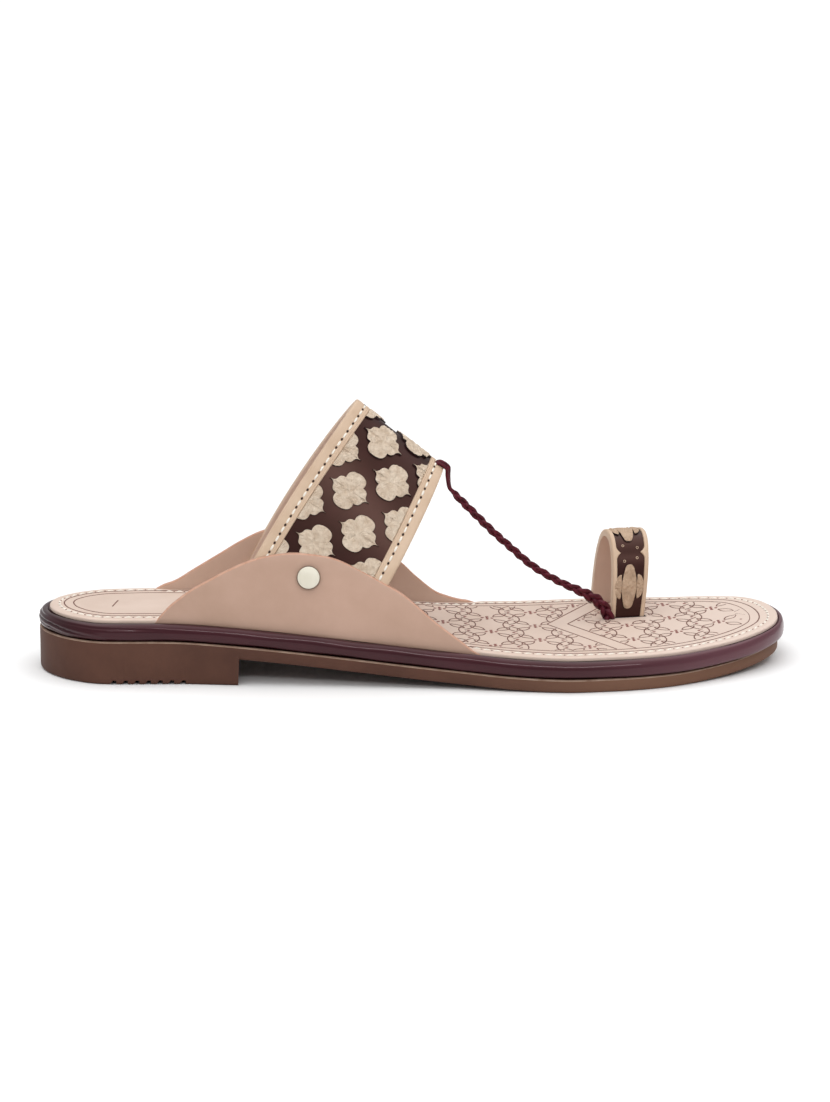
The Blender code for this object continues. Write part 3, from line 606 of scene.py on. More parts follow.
RING_MOTIF = leather("crumpled ring leather", "#A98D75", "#C6A98E", 0.55,
                     (("noise", 620.0, 0.0008, 1.0), ("cells", 3000.0, 0.00005, 0.3)), scale=420.0)
# Painted shade: the sides of the raised pads are near black, standing in for the shadow along their edges.
MOTIF_WALL_SHADE = leather("painted shade on pad walls", "#1E0D0D", "#2E1513", 0.6, FINE_GRAIN)
WING = leather("smooth wing leather", "#B1917E", "#BC9B89", 0.42, FINE_GRAIN, scale=50.0, specular=0.35)
CUT_EDGE = leather("cut leather edge", "#B98A72", "#CBA18B", 0.6,
                   (("noise", 1500.0, 0.0001, 0.5),), scale=400.0)
LINING = leather("wing lining", "#C7AA98", "#D2B6A5", 0.5, FINE_GRAIN, scale=60.0)
TOP_SHEET = leather("beige top sheet", "#CCB5A6", "#D6C1B3", 0.5, FINE_GRAIN, scale=60.0)
# Painted light: the top sheet goes lighter towards the toe, where more light falls.
paint_light_along(TOP_SHEET, "#DAC6B9", (0.03, 0.12))
ETCHED = leather("etched line", "#573429", "#76493B", 0.7, DULL_GRAIN, scale=800.0)
RED_DOT = leather("etched dot", "#6A2F2A", "#8A4A40", 0.7, DULL_GRAIN, scale=800.0)
THREAD = leather("white thread", "#E4DDD1", "#F1ECE2", 0.6,
                 (("noise", 3000.0, 0.00008, 0.6),), scale=900.0)
# Painted shade: the needle holes are dark ovals standing in for the shade inside them.
NEEDLE_HOLE_SHADE = leather("needle hole", "#2A1A14", "#3A251C", 0.8, DULL_GRAIN, scale=800.0)
CORD = leather("plaited cord", "#2C0810", "#5C1828", 0.34,
               (("noise", 2200.0, 0.0001, 0.5),), scale=500.0, tint="#E7A5AE")
METAL = leather("pale rivet enamel", "#D6D0BE", "#E0DBCB", 0.3,
                (("noise", 500.0, 0.00003, 0.2),), coat=0.3)
METAL_RIM = leather("rivet rim", "#5B4A3B", "#7A6552", 0.4, (("noise", 900.0, 0.00003, 0.3),))
DARK = leather("shadowed slot", "#1C0D0C", "#2A1512", 0.8, DULL_GRAIN, scale=800.0)


# Section of the outsole's rim, from the bottom up
OUTSOLE_SECTION = (
    # drawn in, rise from the bottom, below the top
    (0.00120, 0.0, None),
    (0.00070, 0.00008, None),
    (0.00030, 0.0003, None),
    (0.00008, 0.0007, None),
    (0.0, 0.0013, None),
    (0.0, None, 0.0009),
    (0.00012, None, 0.0005),
    (0.00010, None, 0.00025),
    (0.00035, None, 0.00008),
    (0.0008, None, 0.0),
    (0.0016, None, 0.0001),
)
# Bands of the rim, counted from the bottom, painted pale as a highlight along the outsole's rounded upper lip
OUTSOLE_HIGHLIGHT_BANDS = (6, 7, 8)


def rim_kinds(total, bands, second):
    """Material number of each face of a layer: 1 for the named bands of its rim."""
    each = (total - 2 * (ROWS - 1) * ACROSS) // bands
    kinds = np.zeros(total, int)
    for band in second:
        first = 2 * (ROWS - 1) * ACROSS + band * each
        kinds[first:first + each] = 1
    return kinds


def make_outsole():
    """The moulded unit: heel block, waist and forefoot, with the tread notches at the heel's edge."""

    def height_of(rise, below):
        if below is None:
            return lambda x: outsole_bottom(x) + rise
        return lambda x: outsole_top(x) - below

    def drawn(amount):
        return lambda x, side: outsole_inset(x) + amount

    rings = [(drawn(amount), height_of(rise, below)) for amount, rise, below in OUTSOLE_SECTION]
    points, faces = layer(rings)
    kinds = rim_kinds(len(faces), len(rings) - 1, OUTSOLE_HIGHLIGHT_BANDS)
    made = piece("outsole_unit", points, faces, [RUBBER, RUBBER_LIP_HIGHLIGHT], "outsole", "outsole", kinds, 35.0)
    for number in range(2 * TREAD_COUNT):
        x = TREAD_START + number // 2 * TREAD_PITCH
        side = (LATERAL, MEDIAL)[number % 2]
        edge = float(side_y(side, x)) - MIDDLE[1]
        reach = [edge + side * more for more in TREAD_REACH]
        cutter = tread_cutter(x - MIDDLE[0], reach)
        step = made.modifiers.new("tread", "BOOLEAN")
        step.operation, step.solver, step.object = "DIFFERENCE", "EXACT", cutter
        apply_modifiers(made)
        bpy.data.objects.remove(cutter, do_unlink=True)
    return made


# Faces of a four-sided bar from its two ends
BAR_FACES = [[0, 1, 2, 3], [7, 6, 5, 4], [0, 4, 5, 1], [1, 5, 6, 2], [2, 6, 7, 3], [3, 7, 4, 0]]


def tread_cutter(x, ends):
    """A bar across the heel's edge, its slanted ridge up."""
    profile = ((-1.0, -1.0), (1.0, -1.0), (0.9, 1.2), (0.2, 1.3))
    points = [(x + TREAD_HALF * a, y, TREAD_DEPTH * b) for y in ends for a, b in profile]
    return linked("cutter", mesh_of("cutter", points, BAR_FACES))


def apply_modifiers(made):
    """Replaces an object's mesh with its evaluated one."""
    graph = bpy.context.evaluated_depsgraph_get()
    mesh = bpy.data.meshes.new_from_object(made.evaluated_get(graph))
    made.modifiers.clear()
    made.data = mesh


# Section of the padded roll: share of its width drawn in, and share of its height
ROLL_SECTION = (
    # drawn in, height
    (0.62, -0.01),
    (0.40, 0.01),
    (0.24, 0.04),
    (0.12, 0.10),
    (0.045, 0.18),
    (0.01, 0.27),
    (0.0, 0.37),
    (0.005, 0.47),
    (0.025, 0.57),
    (0.06, 0.66),
    (0.12, 0.75),
    (0.19, 0.83),
    (0.28, 0.90),
    (0.39, 0.95),
    (0.52, 0.985),
    (0.68, 1.00),
    (0.82, 0.985),
    (0.93, 0.94),
    (1.00, 0.86),
)
ROLL_BELOW = 0.0012
ROLL_RINGS = 44
ROLL_WAVE = 0.0075
ROLL_WAVE_HEIGHT = 0.0001
# Folds where the rand is wrapped round the heel
ROLL_FOLDS = (
    # start, end, height share at the end, height share at the start, depth
    (-0.002, 0.030, 0.00, 0.66, 0.0005),
    (-0.002, 0.017, 0.04, 0.38, 0.0004),
    (0.000, 0.048, 0.62, 0.86, 0.0002),
)

# A fold's crease and the swelling over it: share of the depth, height share above the fold, spread
FOLD_WAVES = ((-1.0, 0.0, 0.055), (0.4, 0.12, 0.07))


def make_rand():
    """The padded rand: a full roll of thin leather all round a flat tray."""

    def base(x):
        return outsole_top(x) + GAP

    def between(share):
        return lambda x: base(x) + share * (insole_top(x) - ROLL_BELOW - base(x))

    section = curve_through(ROLL_SECTION, ROLL_RINGS, False)
    rings = [(lambda x, side, more=more: roll_inset(x) * more, between(height)) for more, height in section]
    rings.append((lambda x, side: roll_inset(x) * ROLL_TUCK, tray_floor))
    points, faces = layer(rings)
    first = ROWS * (ACROSS + 1)
    around = (len(points) - 2 * first) // (len(rings) - 2)
    rim = boundary(ROWS, ACROSS + 1)
    outward = unit(layer_grid(0.0).reshape(-1, 2)[rim] - layer_grid(0.001).reshape(-1, 2)[rim])
    for number, (_, share) in enumerate(section[1:]):
        body = points[first + number * around:first + (number + 1) * around]
        body[:, 2] += ripple(body * (0.35, 0.35, 1.4), ROLL_WAVE, 3) * ROLL_WAVE_HEIGHT
        amount = np.zeros(around)
        for start, end, low, high, depth in ROLL_FOLDS:
            along = (body[:, 0] - start) / (end - start)
            middle = high + (low - high) * np.clip(along, 0.0, 1.0)
            fade = smooth(1.25 - along) * np.where(body[:, 1] < 0.004, 1.0, 0.4)
            for part, above, spread in FOLD_WAVES:
                amount += part * depth * fade * np.exp(-((share - middle - above) / spread) ** 2)
        body[:, :2] += outward * amount[:, None]
    return piece("rand_roll", points, faces, [ROLL], "midsole", "rand", sharp=60.0)


# Section of the top sheet's rim, from its lower corner to the flat: length drawn in, and below the top
SHEET_SECTION = (
    # drawn in, below
    (0.0, None),
    (0.0, 0.00075),
    (0.00010, 0.0004),
    (0.00035, 0.00018),
    (0.0008, 0.00005),
    (0.0016, 0.0),
    (0.0024, 0.00002),
    (0.0029, 0.00012),
    (0.0033, 0.00016),
    (0.0037, 0.00012),
    (0.0042, 0.00002),
    (0.0054, 0.0),
)
STITCH_INSET = 0.0033
LET_IN_RAMP = 0.008


def wing_let_in(x, side):
    """How far the top sheet's edge stands back where a wing goes down beside it."""
    total = np.zeros_like(x)
    for which, table in ((LATERAL, WING_TOP_LATERAL), (MEDIAL, WING_TOP_MEDIAL)):
        start, end = table[0][0] * LENGTH, table[-1][0] * LENGTH
        inside = smooth((x - start) / LET_IN_RAMP) * smooth((end - x) / LET_IN_RAMP)
        total = np.where(side == which, inside * (WING_THICKNESS + GAP), total)
    return total


def sheet_inset(more):
    return lambda x, side: roll_inset(x) * ROLL_TUCK + GAP + more + wing_let_in(x, side)


def make_insole():
    rings = []
    for more, below in SHEET_SECTION:
        height = insole_low if below is None else (lambda x, below=below: insole_top(x) - below)
        rings.append((sheet_inset(more), height))
    points, faces = layer(rings)
    return piece("insole_sheet", points, faces, [TOP_SHEET], "insole", "insole", sharp=50.0)


# Etched pattern of the top sheet
LINE_WIDTH = 0.0004
BORDER_LINE_WIDTH = 0.00042
STRIP_PROUD = 0.00007
STRIP_DEPTH = 0.0002
BORDER_INSETS = (0.0086, 0.0118)
FIELD_INSET = 0.0128
ROSETTE_ROWS = 9
ROSETTE_STEP = (0.0160, 0.0200)
ROSETTE_FIRST = (0.004, 0.001)
LEAF_FROM = 0.0030
LEAF_SIZE = (0.0068, 0.0030)
ARC_RADIUS = 0.0112
ARC_HALF = 52.0
DOT_RING = 0.0017
DOT_OUT = (0.0078, 0.0)
DOT_RADIUS = 0.00032
HEEL_MARK = ((0.0253, -0.0045), (0.0270, 0.0045))
CHEVRON_TIP = (0.1753, 0.004)
CHEVRON_ARM = 0.56
CHEVRON_BAND = 0.0072
FIELD_FROM = 0.103
BAND_ROOM = 0.0006
RING_ROOM = (0.0105, 0.0035)


def strips(name, lines, material, width=LINE_WIDTH):
    """Thin inlaid strips along lines in plan, sunk in the top sheet and just proud of it."""
    parts = []
    for line in lines:
        way = unit(np.gradient(line, axis=0))
        aside = np.stack([-way[:, 1], way[:, 0]], axis=1) * 0.5 * width
        top = insole_top(line[:, 0]) + STRIP_PROUD
        low = top - STRIP_DEPTH
        corners = ((line - aside, low), (line + aside, low), (line + aside, top), (line - aside, top))
        parts.append(closed_tube(np.stack([np.column_stack(corner) for corner in corners], axis=1)))
    return piece(name, *joined(parts), [material], "insole", "insole", sharp=30.0)


def arc(middle, radius, first, last, count):
    """Part of a circle, its ends in degrees."""
    angle = np.radians(np.linspace(first, last, count))
    return np.asarray(middle) + radius * np.stack([np.cos(angle), np.sin(angle)], axis=1)


def leaf(root, length, width, turn):
    """Both sides of a pointed leaf."""
    t = np.linspace(0.0, 1.0, 14)
    way = np.array([math.cos(turn), math.sin(turn)])
    aside = np.array([-way[1], way[0]])
    swell = 0.5 * width * np.sin(math.pi * t)
    middle = np.asarray(root) + t[:, None] * length * way
    return [middle + swell[:, None] * aside, middle - swell[:, None] * aside]


def edge_distance(points):
    """Distance from the outermost line, in plan."""
    return np.array([np.hypot(*(EDGE - p).T).min() for p in points])


def chevron_side(points):
    """How far points lie in front of the chevron band's rear line."""
    ahead = points[:, 0] - CHEVRON_TIP[0]
    return ahead - np.abs(points[:, 1] - CHEVRON_TIP[1]) * CHEVRON_ARM


def between_sides(points):
    return (points[:, 1] > side_y(LATERAL, points[:, 0])) & (points[:, 1] < side_y(MEDIAL, points[:, 0]))


def in_field(points):
    """Whether points lie inside the border lines and off the plain chevron band and the ring's foot."""
    ahead = chevron_side(points)
    from_ring = np.abs(points - (RING_X - 0.002, RING_CORNER - 0.001))
    near_ring = (from_ring < RING_ROOM).all(axis=1)
    band = (ahead > -BAND_ROOM) & (ahead < CHEVRON_BAND + BAND_ROOM)
    inside = between_sides(points) & (points[:, 0] < LENGTH) & (edge_distance(points) > FIELD_INSET)
    return inside & (points[:, 0] > FIELD_FROM) & ~band & ~near_ring


def clipped(lines):
    """The stretches of lines that lie in the field."""
    kept = []
    for line in lines:
        inside = in_field(line)
        first = None
        for k, ok in enumerate(np.append(inside, False)):
            if ok and first is None:
                first = k
            if not ok and first is not None:
                if k - first > 2:
                    kept.append(line[first:k])
                first = None
    return kept


def rosette(middle):
    """Lines and dots of one generic flower: four leaves and five dots."""
    lines, dots = [], [middle]
    for k in range(4):
        angle = math.radians(45.0 + 90.0 * k)
        lines += leaf(middle + LEAF_FROM * np.array([math.cos(angle), math.sin(angle)]), *LEAF_SIZE, angle)
        angle += math.pi / 4
        dots.append(middle + DOT_RING * np.array([math.cos(angle), math.sin(angle)]))
    return lines, dots


def make_etching():
    """Border lines all round, a plain chevron band behind the toe ring and flowers on both sides of it."""
    borders = [np.vstack([line, line[:1]]) for line in (spaced(inset_line(i), 420) for i in BORDER_INSETS)]
    arms = []
    reach = np.linspace(0.0, 0.05, 60)
    for ahead in (0.0, CHEVRON_BAND):
        for side in (-1, 1):
            line = np.stack([ahead + reach * CHEVRON_ARM, side * reach], axis=1) + CHEVRON_TIP
            arms.append(line[between_sides(line) & (edge_distance(line) > BORDER_INSETS[1])])
    lines, dots = [], []
    for row in range(ROSETTE_ROWS):
        for column in range(-3, 4):
            x = FIELD_FROM + ROSETTE_FIRST[0] + row * ROSETTE_STEP[0]
            middle = np.array([x, ROSETTE_FIRST[1] + (column + 0.5 * (row % 2)) * ROSETTE_STEP[1]])
            flower, points = rosette(middle)
            lines += flower
            lines += [arc(middle, ARC_RADIUS, turn - ARC_HALF, turn + ARC_HALF, 26) for turn in (0.0, 180.0)]
            dots += points + [middle + DOT_OUT, middle - DOT_OUT]
    strips("etched_borders", borders + arms, ETCHED, BORDER_LINE_WIDTH)
    strips("etched_flowers", clipped(lines) + [np.linspace(*HEEL_MARK, 8)], ETCHED)
    dots = np.array(dots)
    dots = dots[in_field(dots)]
    strips("etched_dots", [arc(dot, DOT_RADIUS, 0.0, 300.0, 8) for dot in dots], RED_DOT, 2 * DOT_RADIUS)


SLOT_ROOM = (0.0008, 0.0004)
SLOT_PROUD = 0.00005
SLOT_DEPTH = 0.0006


def make_slots():
    """The dark ends of the slots that the toe ring's legs go through."""
    parts = []
    half = float(ring_half(0.0)) + SLOT_ROOM[0]
    outer, inner = SLOT_ROOM[1], -RING_THICKNESS - SLOT_ROOM[1]
    for run in (INSOLE_THICKNESS, RING_RUN[-1] - INSOLE_THICKNESS):
        along, raised = np.array([(-half, outer), (half, outer), (half, inner), (-half, inner)]).T
        corner = ring_surface(np.full(4, run), along, raised)
        top = insole_top(corner[:, 0]) + SLOT_PROUD
        ends = [np.column_stack([corner[:, :2], height]) for height in (top - SLOT_DEPTH, top)]
        parts.append((np.vstack(ends), BAR_FACES))
    return piece("ring_slots", *joined(parts), [DARK], "insole", "insole", sharp=30.0)


# The last: the shape of the foot that the wings and the strap follow
def arch(share):
    """Half width over height, both as shares."""
    return (1.0 - np.clip(share, 0.0, 1.0) ** ARCH_POWER) ** (1.0 / ARCH_POWER)


def last_height(x):
    share = np.clip((x - STRAP_REAR_BASE) / (STRAP_FRONT_BASE - STRAP_REAR_BASE), 0.0, 1.0)
    return INSTEP_REAR_HEIGHT * (1.0 - share) + INSTEP_FRONT_HEIGHT * share


def wing_foot(side, x):
    """Outer face of a wing at the insole, in y."""
    return side_y(side, x, ROLL_WIDTH * ROLL_TUCK + GAP)


def wing_top(table, x):
    along, height = np.array(table).T
    line = curve_through(np.stack([along * LENGTH, height * WING_HEIGHT], axis=1), 300, False)
    return np.interp(x, line[:, 0], line[:, 1])


def wing_outer(side, x, height):
    """A point on a wing's outer face, at a height over the insole."""
    foot = wing_foot(side, x)
    inward = np.abs(foot) * (1.0 - arch(np.clip(height, 0.0, None) / last_height(x)))
    return np.stack([x, foot - side * inward, insole_top(x) + height], axis=-1)


WING_STEPS = 170
WING_LEVELS = 15
WING_SINK = 0.0014
WING_SINK_RUN = 0.006
# Section of a wing's top edge: share of the thickness inwards, and length below the top
WING_EDGE = (
    # inwards, below
    (0.0, 0.00045),
    (0.03, 0.00018),
    (0.11, 0.00004),
    (0.26, 0.0),
    (0.42, 0.00005),
    (0.48, 0.0005),
    (0.52, 0.0005),
    (0.58, 0.00005),
    (0.74, 0.0),
    (0.89, 0.00004),
    (0.97, 0.00018),
    (1.0, 0.00045),
)


def banded(name, grid, kinds, end, materials, node):
    """A closed band from its sections, with a material number for each strip of it and one for its ends."""
    points, faces = closed_tube(grid)
    face_material = np.concatenate([np.tile(kinds, len(grid) - 1), [end] * 2])
    return piece(name, points, faces, materials, node, node, face_material, 50.0)


WING_FACE, WING_CUT, WING_INSIDE = range(3)


def make_wing(name, side, table):
    """One wing: two plies along the outline that lean in like the foot, their cut edge showing."""
    x = np.linspace(table[0][0] * LENGTH, table[-1][0] * LENGTH, WING_STEPS)
    from_end = np.minimum(x - x[0], x[-1] - x)
    top = np.maximum(wing_top(table, x), 0.0004) - WING_SINK * (1.0 - smooth(from_end / WING_SINK_RUN))
    low = insole_low(x) - insole_top(x)
    wall = np.linspace(0.0, 1.0, WING_LEVELS)[:-1]
    inward, below = np.array(WING_EDGE).T
    height = [low + (top - below[0] - low) * share for share in wall]
    height += [top - depth for depth in below]
    height += [low + (top - below[-1] - low) * share for share in wall[::-1]]
    inward_share = np.concatenate([np.zeros_like(wall), inward, np.ones_like(wall)])
    grid = wing_outer(side, np.repeat(x[:, None], len(height), axis=1), np.stack(height, axis=1))
    slope = np.gradient(wing_foot(side, x), x)
    grid[..., 1] -= side * (inward_share / np.hypot(slope, 1.0)[:, None]) * WING_THICKNESS
    counts = (WING_LEVELS - 1, len(WING_EDGE) - 1, WING_LEVELS - 1, 1)
    kinds = np.repeat((WING_FACE, WING_CUT, WING_INSIDE, WING_FACE), counts)
    return banded(name, grid, kinds, WING_CUT, [WING, CUT_EDGE, LINING], "upper")


# The instep strap
STRAP_HALF = {
    base: {
        side: abs(float(wing_foot(side, base))) - WING_THICKNESS + STRAP_EMBED
        for side in (LATERAL, MEDIAL)
    }
    for base in (STRAP_REAR_BASE, STRAP_FRONT_BASE)
}


def strap_point(across, turn):
    """Ground of the strap: across is 0 at the rear edge and 1 at the front, turn 0 lateral to 1 medial."""
    across, turn = np.broadcast_arrays(across, turn)
    angle = np.pi * turn
    power = 2.0 / ARCH_POWER
    rise = np.clip(np.sin(angle), 0.0, 1.0) ** power
    reach = np.abs(np.cos(angle)) ** power * np.sign(-np.cos(angle))
    edges = []
    for base, apex, height, bow in (
        (STRAP_REAR_BASE, STRAP_REAR_APEX, INSTEP_REAR_HEIGHT, STRAP_REAR_BOW),
        (STRAP_FRONT_BASE, STRAP_FRONT_APEX, INSTEP_FRONT_HEIGHT, STRAP_FRONT_BOW),
    ):
        half = STRAP_HALF[base]
        y = np.where(reach < 0.0, half[LATERAL], half[MEDIAL]) * reach
        x = base + (apex - base) * (rise * (1.0 - bow) + bow * rise**2) + STRAP_SKEW * y
        z = insole_top(np.full_like(y, base)) + STRAP_CLEAR + height * rise
        edges.append(np.stack([x, y, z], axis=-1))
    return edges[0] * (1.0 - across[..., None]) + edges[1] * across[..., None]


def strap_normal(across, turn):
    step = 0.002
    along = strap_point(across, turn + step) - strap_point(across, turn - step)
    aside = strap_point(across + step, turn) - strap_point(across - step, turn)
    return unit(np.cross(aside, along))


def strap_surface(across, turn, raised):
    """A point above the strap's ground by a length."""
    return strap_point(across, turn) + strap_normal(across, turn) * np.asarray(raised)[..., None]


def strap_turns(count, across=0.5):
    """Places round the strap, even along one line of it, and that line's length."""
    fine = np.linspace(*STRAP_TURNS, FINE)
    run = run_along(strap_point(np.full(FINE, across), fine))
    return np.interp(np.linspace(0.0, run[-1], count), run, fine), run[-1]


def strap_width(turn):
    span = strap_point(np.ones_like(turn), turn) - strap_point(np.zeros_like(turn), turn)
    return np.linalg.norm(span, axis=-1)


# Section of a border, from the strap's edge inwards: length from the edge, and length over the ground
BORDER_SECTION = (
    # from edge, over ground
    (0.0, -0.0004),
    (0.00004, 0.0003),
    (0.00018, 0.00065),
    (0.0005, 0.00085),
    (0.0011, 0.0009),
    (0.0022, 0.00092),
    (0.0029, 0.00084),
    (0.0033, 0.00074),
    (0.0036, 0.00070),
    (0.0039, 0.00076),
    (0.0043, 0.00088),
    (0.0046, 0.00096),
    (0.0048, 0.00090),
    (0.0049, 0.00082),
    (0.0051, 0.00090),
    (0.0054, 0.00092),
    (0.00562, 0.0007),
    (0.0057, 0.0003),
    (0.00572, 0.0),
)
STITCH_FROM_EDGE = 0.0036
STRAP_STEPS = 190
GROUND_COLUMNS = 22
# The strap's lining from the front edge to the rear one: place across, and length over the ground
LINING_SECTION = (
    (1.0, -0.0012), (1.0, -0.00195), (0.994, -STRAP_THICKNESS),
    *((share, -STRAP_THICKNESS) for share in np.linspace(0.95, 0.05, 12)),
    (0.006, -STRAP_THICKNESS), (0.0, -0.00195), (0.0, -0.0012),
)
# Material numbers round the strap and the ring
ON_GROUND, ON_BORDER, ON_LINING = range(3)


def make_strap():
    """The instep strap: a glossy ground between two raised borders, lined inside."""
    turns, _ = strap_turns(STRAP_STEPS)
    width = strap_width(turns)
    borders = [(inward / width, over) for inward, over in BORDER_SECTION]
    edge = BORDER_SECTION[-1][0]
    rows = list(borders)
    for share in np.linspace(0.0, 1.0, GROUND_COLUMNS + 2)[1:-1]:
        rows.append(((edge + (width - 2 * edge) * share) / width, 0.0))
    rows += [(1.0 - across, over) for across, over in borders[::-1]]
    rows += [(np.full_like(turns, across), over) for across, over in LINING_SECTION]
    kinds = [ON_BORDER] * (len(borders) - 1) + [ON_GROUND] * (GROUND_COLUMNS + 1)
    kinds += [ON_BORDER] * (len(borders) + 2) + [ON_LINING] * (len(LINING_SECTION) - 4) + [ON_BORDER] * 2
    columns = [strap_surface(across, turns, np.full_like(turns, over)) for across, over in rows]
    grid = np.stack(columns, axis=1)
    return banded("instep_strap", grid, kinds, ON_BORDER, [GROUND, BEIGE, LINING], "upper")


def rear_edge_run():
    """Length along the strap's rear edge from its apex, for turns round it."""
    turns = np.linspace(*STRAP_TURNS, FINE)
    run = run_along(strap_point(np.zeros_like(turns), turns))
    return turns, run - np.interp(0.5, turns, run)


REAR_TURNS, REAR_RUN = rear_edge_run()


def strap_place(away, along):
    """(across, turn) of the point at a length from the apex and a distance square to the rear edge."""
    step = 0.002
    turn = np.interp(along, REAR_RUN, REAR_TURNS)
    edge = strap_point(np.zeros_like(turn), turn + step) - strap_point(np.zeros_like(turn), turn - step)
    edge = unit(edge)
    rule = strap_point(np.ones_like(turn), turn) - strap_point(np.zeros_like(turn), turn)
    slip = (rule * edge).sum(axis=-1)
    square = np.linalg.norm(rule - slip[..., None] * edge, axis=-1)
    across = np.clip(away / square, 0.03, 0.97)
    walked = strap_point(across, turn + step) - strap_point(across, turn - step)
    rate = np.linalg.norm(walked, axis=-1) / (2 * step)
    return across, turn - across * slip / rate


# One quarter of a quatrefoil's outline, from tip to lobe: shares of the half width and of the half length
MOTIF_QUARTER = (
    (1.110, 0.000),
    (0.985, 0.016),
    (0.890, 0.062),
    (0.825, 0.150),
    (0.795, 0.250),
    (0.755, 0.350),
    (0.675, 0.425),
    (0.580, 0.455),
    (0.490, 0.470),
    (0.500, 0.570),
    (0.490, 0.710),
    (0.425, 0.845),
    (0.295, 0.945),
    (0.140, 0.995),
    (0.000, 1.005),
)
MOTIF_NOTCH = 8


def quatrefoil():
    """Outline of one motif: pointed tips across the strap and round lobes along it."""
    quarter = np.array(MOTIF_QUARTER)
    half = np.vstack([quarter, quarter[-2::-1] * (-1.0, 1.0)])
    loop = np.vstack([half, half[-2:0:-1] * (1.0, -1.0)])
    side = 2 * (len(quarter) - 1)
    corners = [0, MOTIF_NOTCH, side - MOTIF_NOTCH, side, side + MOTIF_NOTCH, 2 * side - MOTIF_NOTCH, 2 * side]
    line = []
    for first, last in zip(corners, corners[1:]):
        stretch = loop[np.arange(first, last + 1) % len(loop)]
        line.append(curve_through(stretch, 4 * len(stretch), False)[:-1])
    return np.vstack(line)


# Height of a motif over its radius, from the foot of its wall: share of the way out, share of the height
PUFF = (
    (1.000, -0.6),
    (1.000, 0.9),
    (0.992, 1.15),
    (0.970, 1.32),
    (0.925, 1.45),
    (0.86, 1.53),
    (0.78, 1.58),
    *((out, 1.60) for out in (0.69, 0.60, 0.50, 0.40, 0.30, 0.21, 0.12, 0.05)),
)
PUFF_MIDDLE = 1.2
CREASE_DEPTH = 0.4
CREASES = (0.0030, 0.0014)


def crumple(points, seed):
    """Creases of soft crumpled leather, from 0 to 1."""
    fold = 1.0 - np.abs(ripple(points, CREASES[0], seed))
    fine = 1.0 - np.abs(ripple(points, CREASES[1], seed + 7))
    return 0.6 * fold + 0.4 * fine


def pads(name, outlines, surface, node, height, seed, look):
    """Raised pads of crumpled leather with sides painted dark as shade, each an outline and its middle on a
    surface.
    """
    parts, kinds = [], []
    for shape, middle in outlines:
        count, points = len(shape), []
        for out, level in PUFF:
            ring = middle + (shape - middle) * out
            flat = surface(ring[:, 0], ring[:, 1], np.zeros(count))
            crease = crumple(flat, seed) if level > 0.9 else np.ones(count)
            raised = height * level * (1.0 - CREASE_DEPTH * np.clip(1.0 - crease, -0.3, 1.2))
            points.append(surface(ring[:, 0], ring[:, 1], raised))
        points.append(surface(middle[:1], middle[1:], np.array([height * PUFF_MIDDLE])))
        tip = len(PUFF) * count
        last = tip - count
        faces = tube_faces(len(PUFF), count).tolist()
        faces += [[last + k, last + (k + 1) % count, tip] for k in range(count)]
        faces.append(list(range(count)))
        # 1 marks the sides and the bottom, painted dark as shade
        kinds += [1] * (2 * count) + [0] * (count * (len(PUFF) - 2)) + [1]
        parts.append((np.vstack(points), faces))
    return piece(name, *joined(parts), [look, MOTIF_WALL_SHADE], node, node, kinds, 55.0)


def make_motifs():
    shape = quatrefoil() * (0.5 * MOTIF_WIDTH, 0.5 * MOTIF_LENGTH)

    def surface(away, along, raised):
        across, turn = strap_place(away, along)
        from_edge = np.minimum(across, 1.0 - across) * strap_width(turn)
        under = from_edge < BORDER_WIDTH + 0.0001
        return strap_surface(across, turn, np.where(under, np.minimum(raised, UNDER_BORDER), raised))

    columns = [(away, first + MOTIF_STEP * np.arange(count)) for away, first, count in MOTIF_COLUMNS]
    middles = [np.array([away, along]) for away, places in columns for along in places]
    outlines = [(shape + middle, middle) for middle in middles]
    return pads("strap_quatrefoils", outlines, surface, "upper", MOTIF_RAISE, 11, MOTIF)


# Thread
def bead_mesh(rows, sides):
    """A stitch: an oval drop along x, its ends pulled down."""
    points = []
    for t in np.linspace(0.0, math.pi, rows):
        radius = math.sin(t) ** 0.6 if 0.0 < t < math.pi else 0.0
        for s in np.linspace(0.0, 2 * math.pi, sides, endpoint=False):
            points.append((-math.cos(t), radius * math.cos(s), radius * math.sin(s)))
    return np.array(points), tube_faces(rows, sides)


STITCH_SINK = 0.35


def stitches(name, centres, ways, normals, size, node, material):
    """One mesh of many stitches, each (length, width, height) in size."""
    base, faces = bead_mesh(9, 8)
    length, width, height = size
    sunk = base[:, 2:] * 0.5 - base[:, :1] ** 2 * STITCH_SINK
    points, quad = [], []
    for k, (centre, way, up) in enumerate(zip(centres, unit(ways), normals)):
        up = unit(up - way * (up @ way))
        flat = base[:, :1] * way * length * 0.5 + base[:, 1:2] * np.cross(up, way) * width * 0.5
        points.append(centre + flat + sunk * up * height)
        quad.append(faces + k * len(base))
    return piece(name, np.vstack(points), np.vstack(quad), [material], node, node, sharp=80.0)


STITCH_PITCH = 0.0035
STRAP_STITCH = (0.0021, 0.00075, 0.0006)
HOLE = (0.0011, 0.0009, 0.0004)


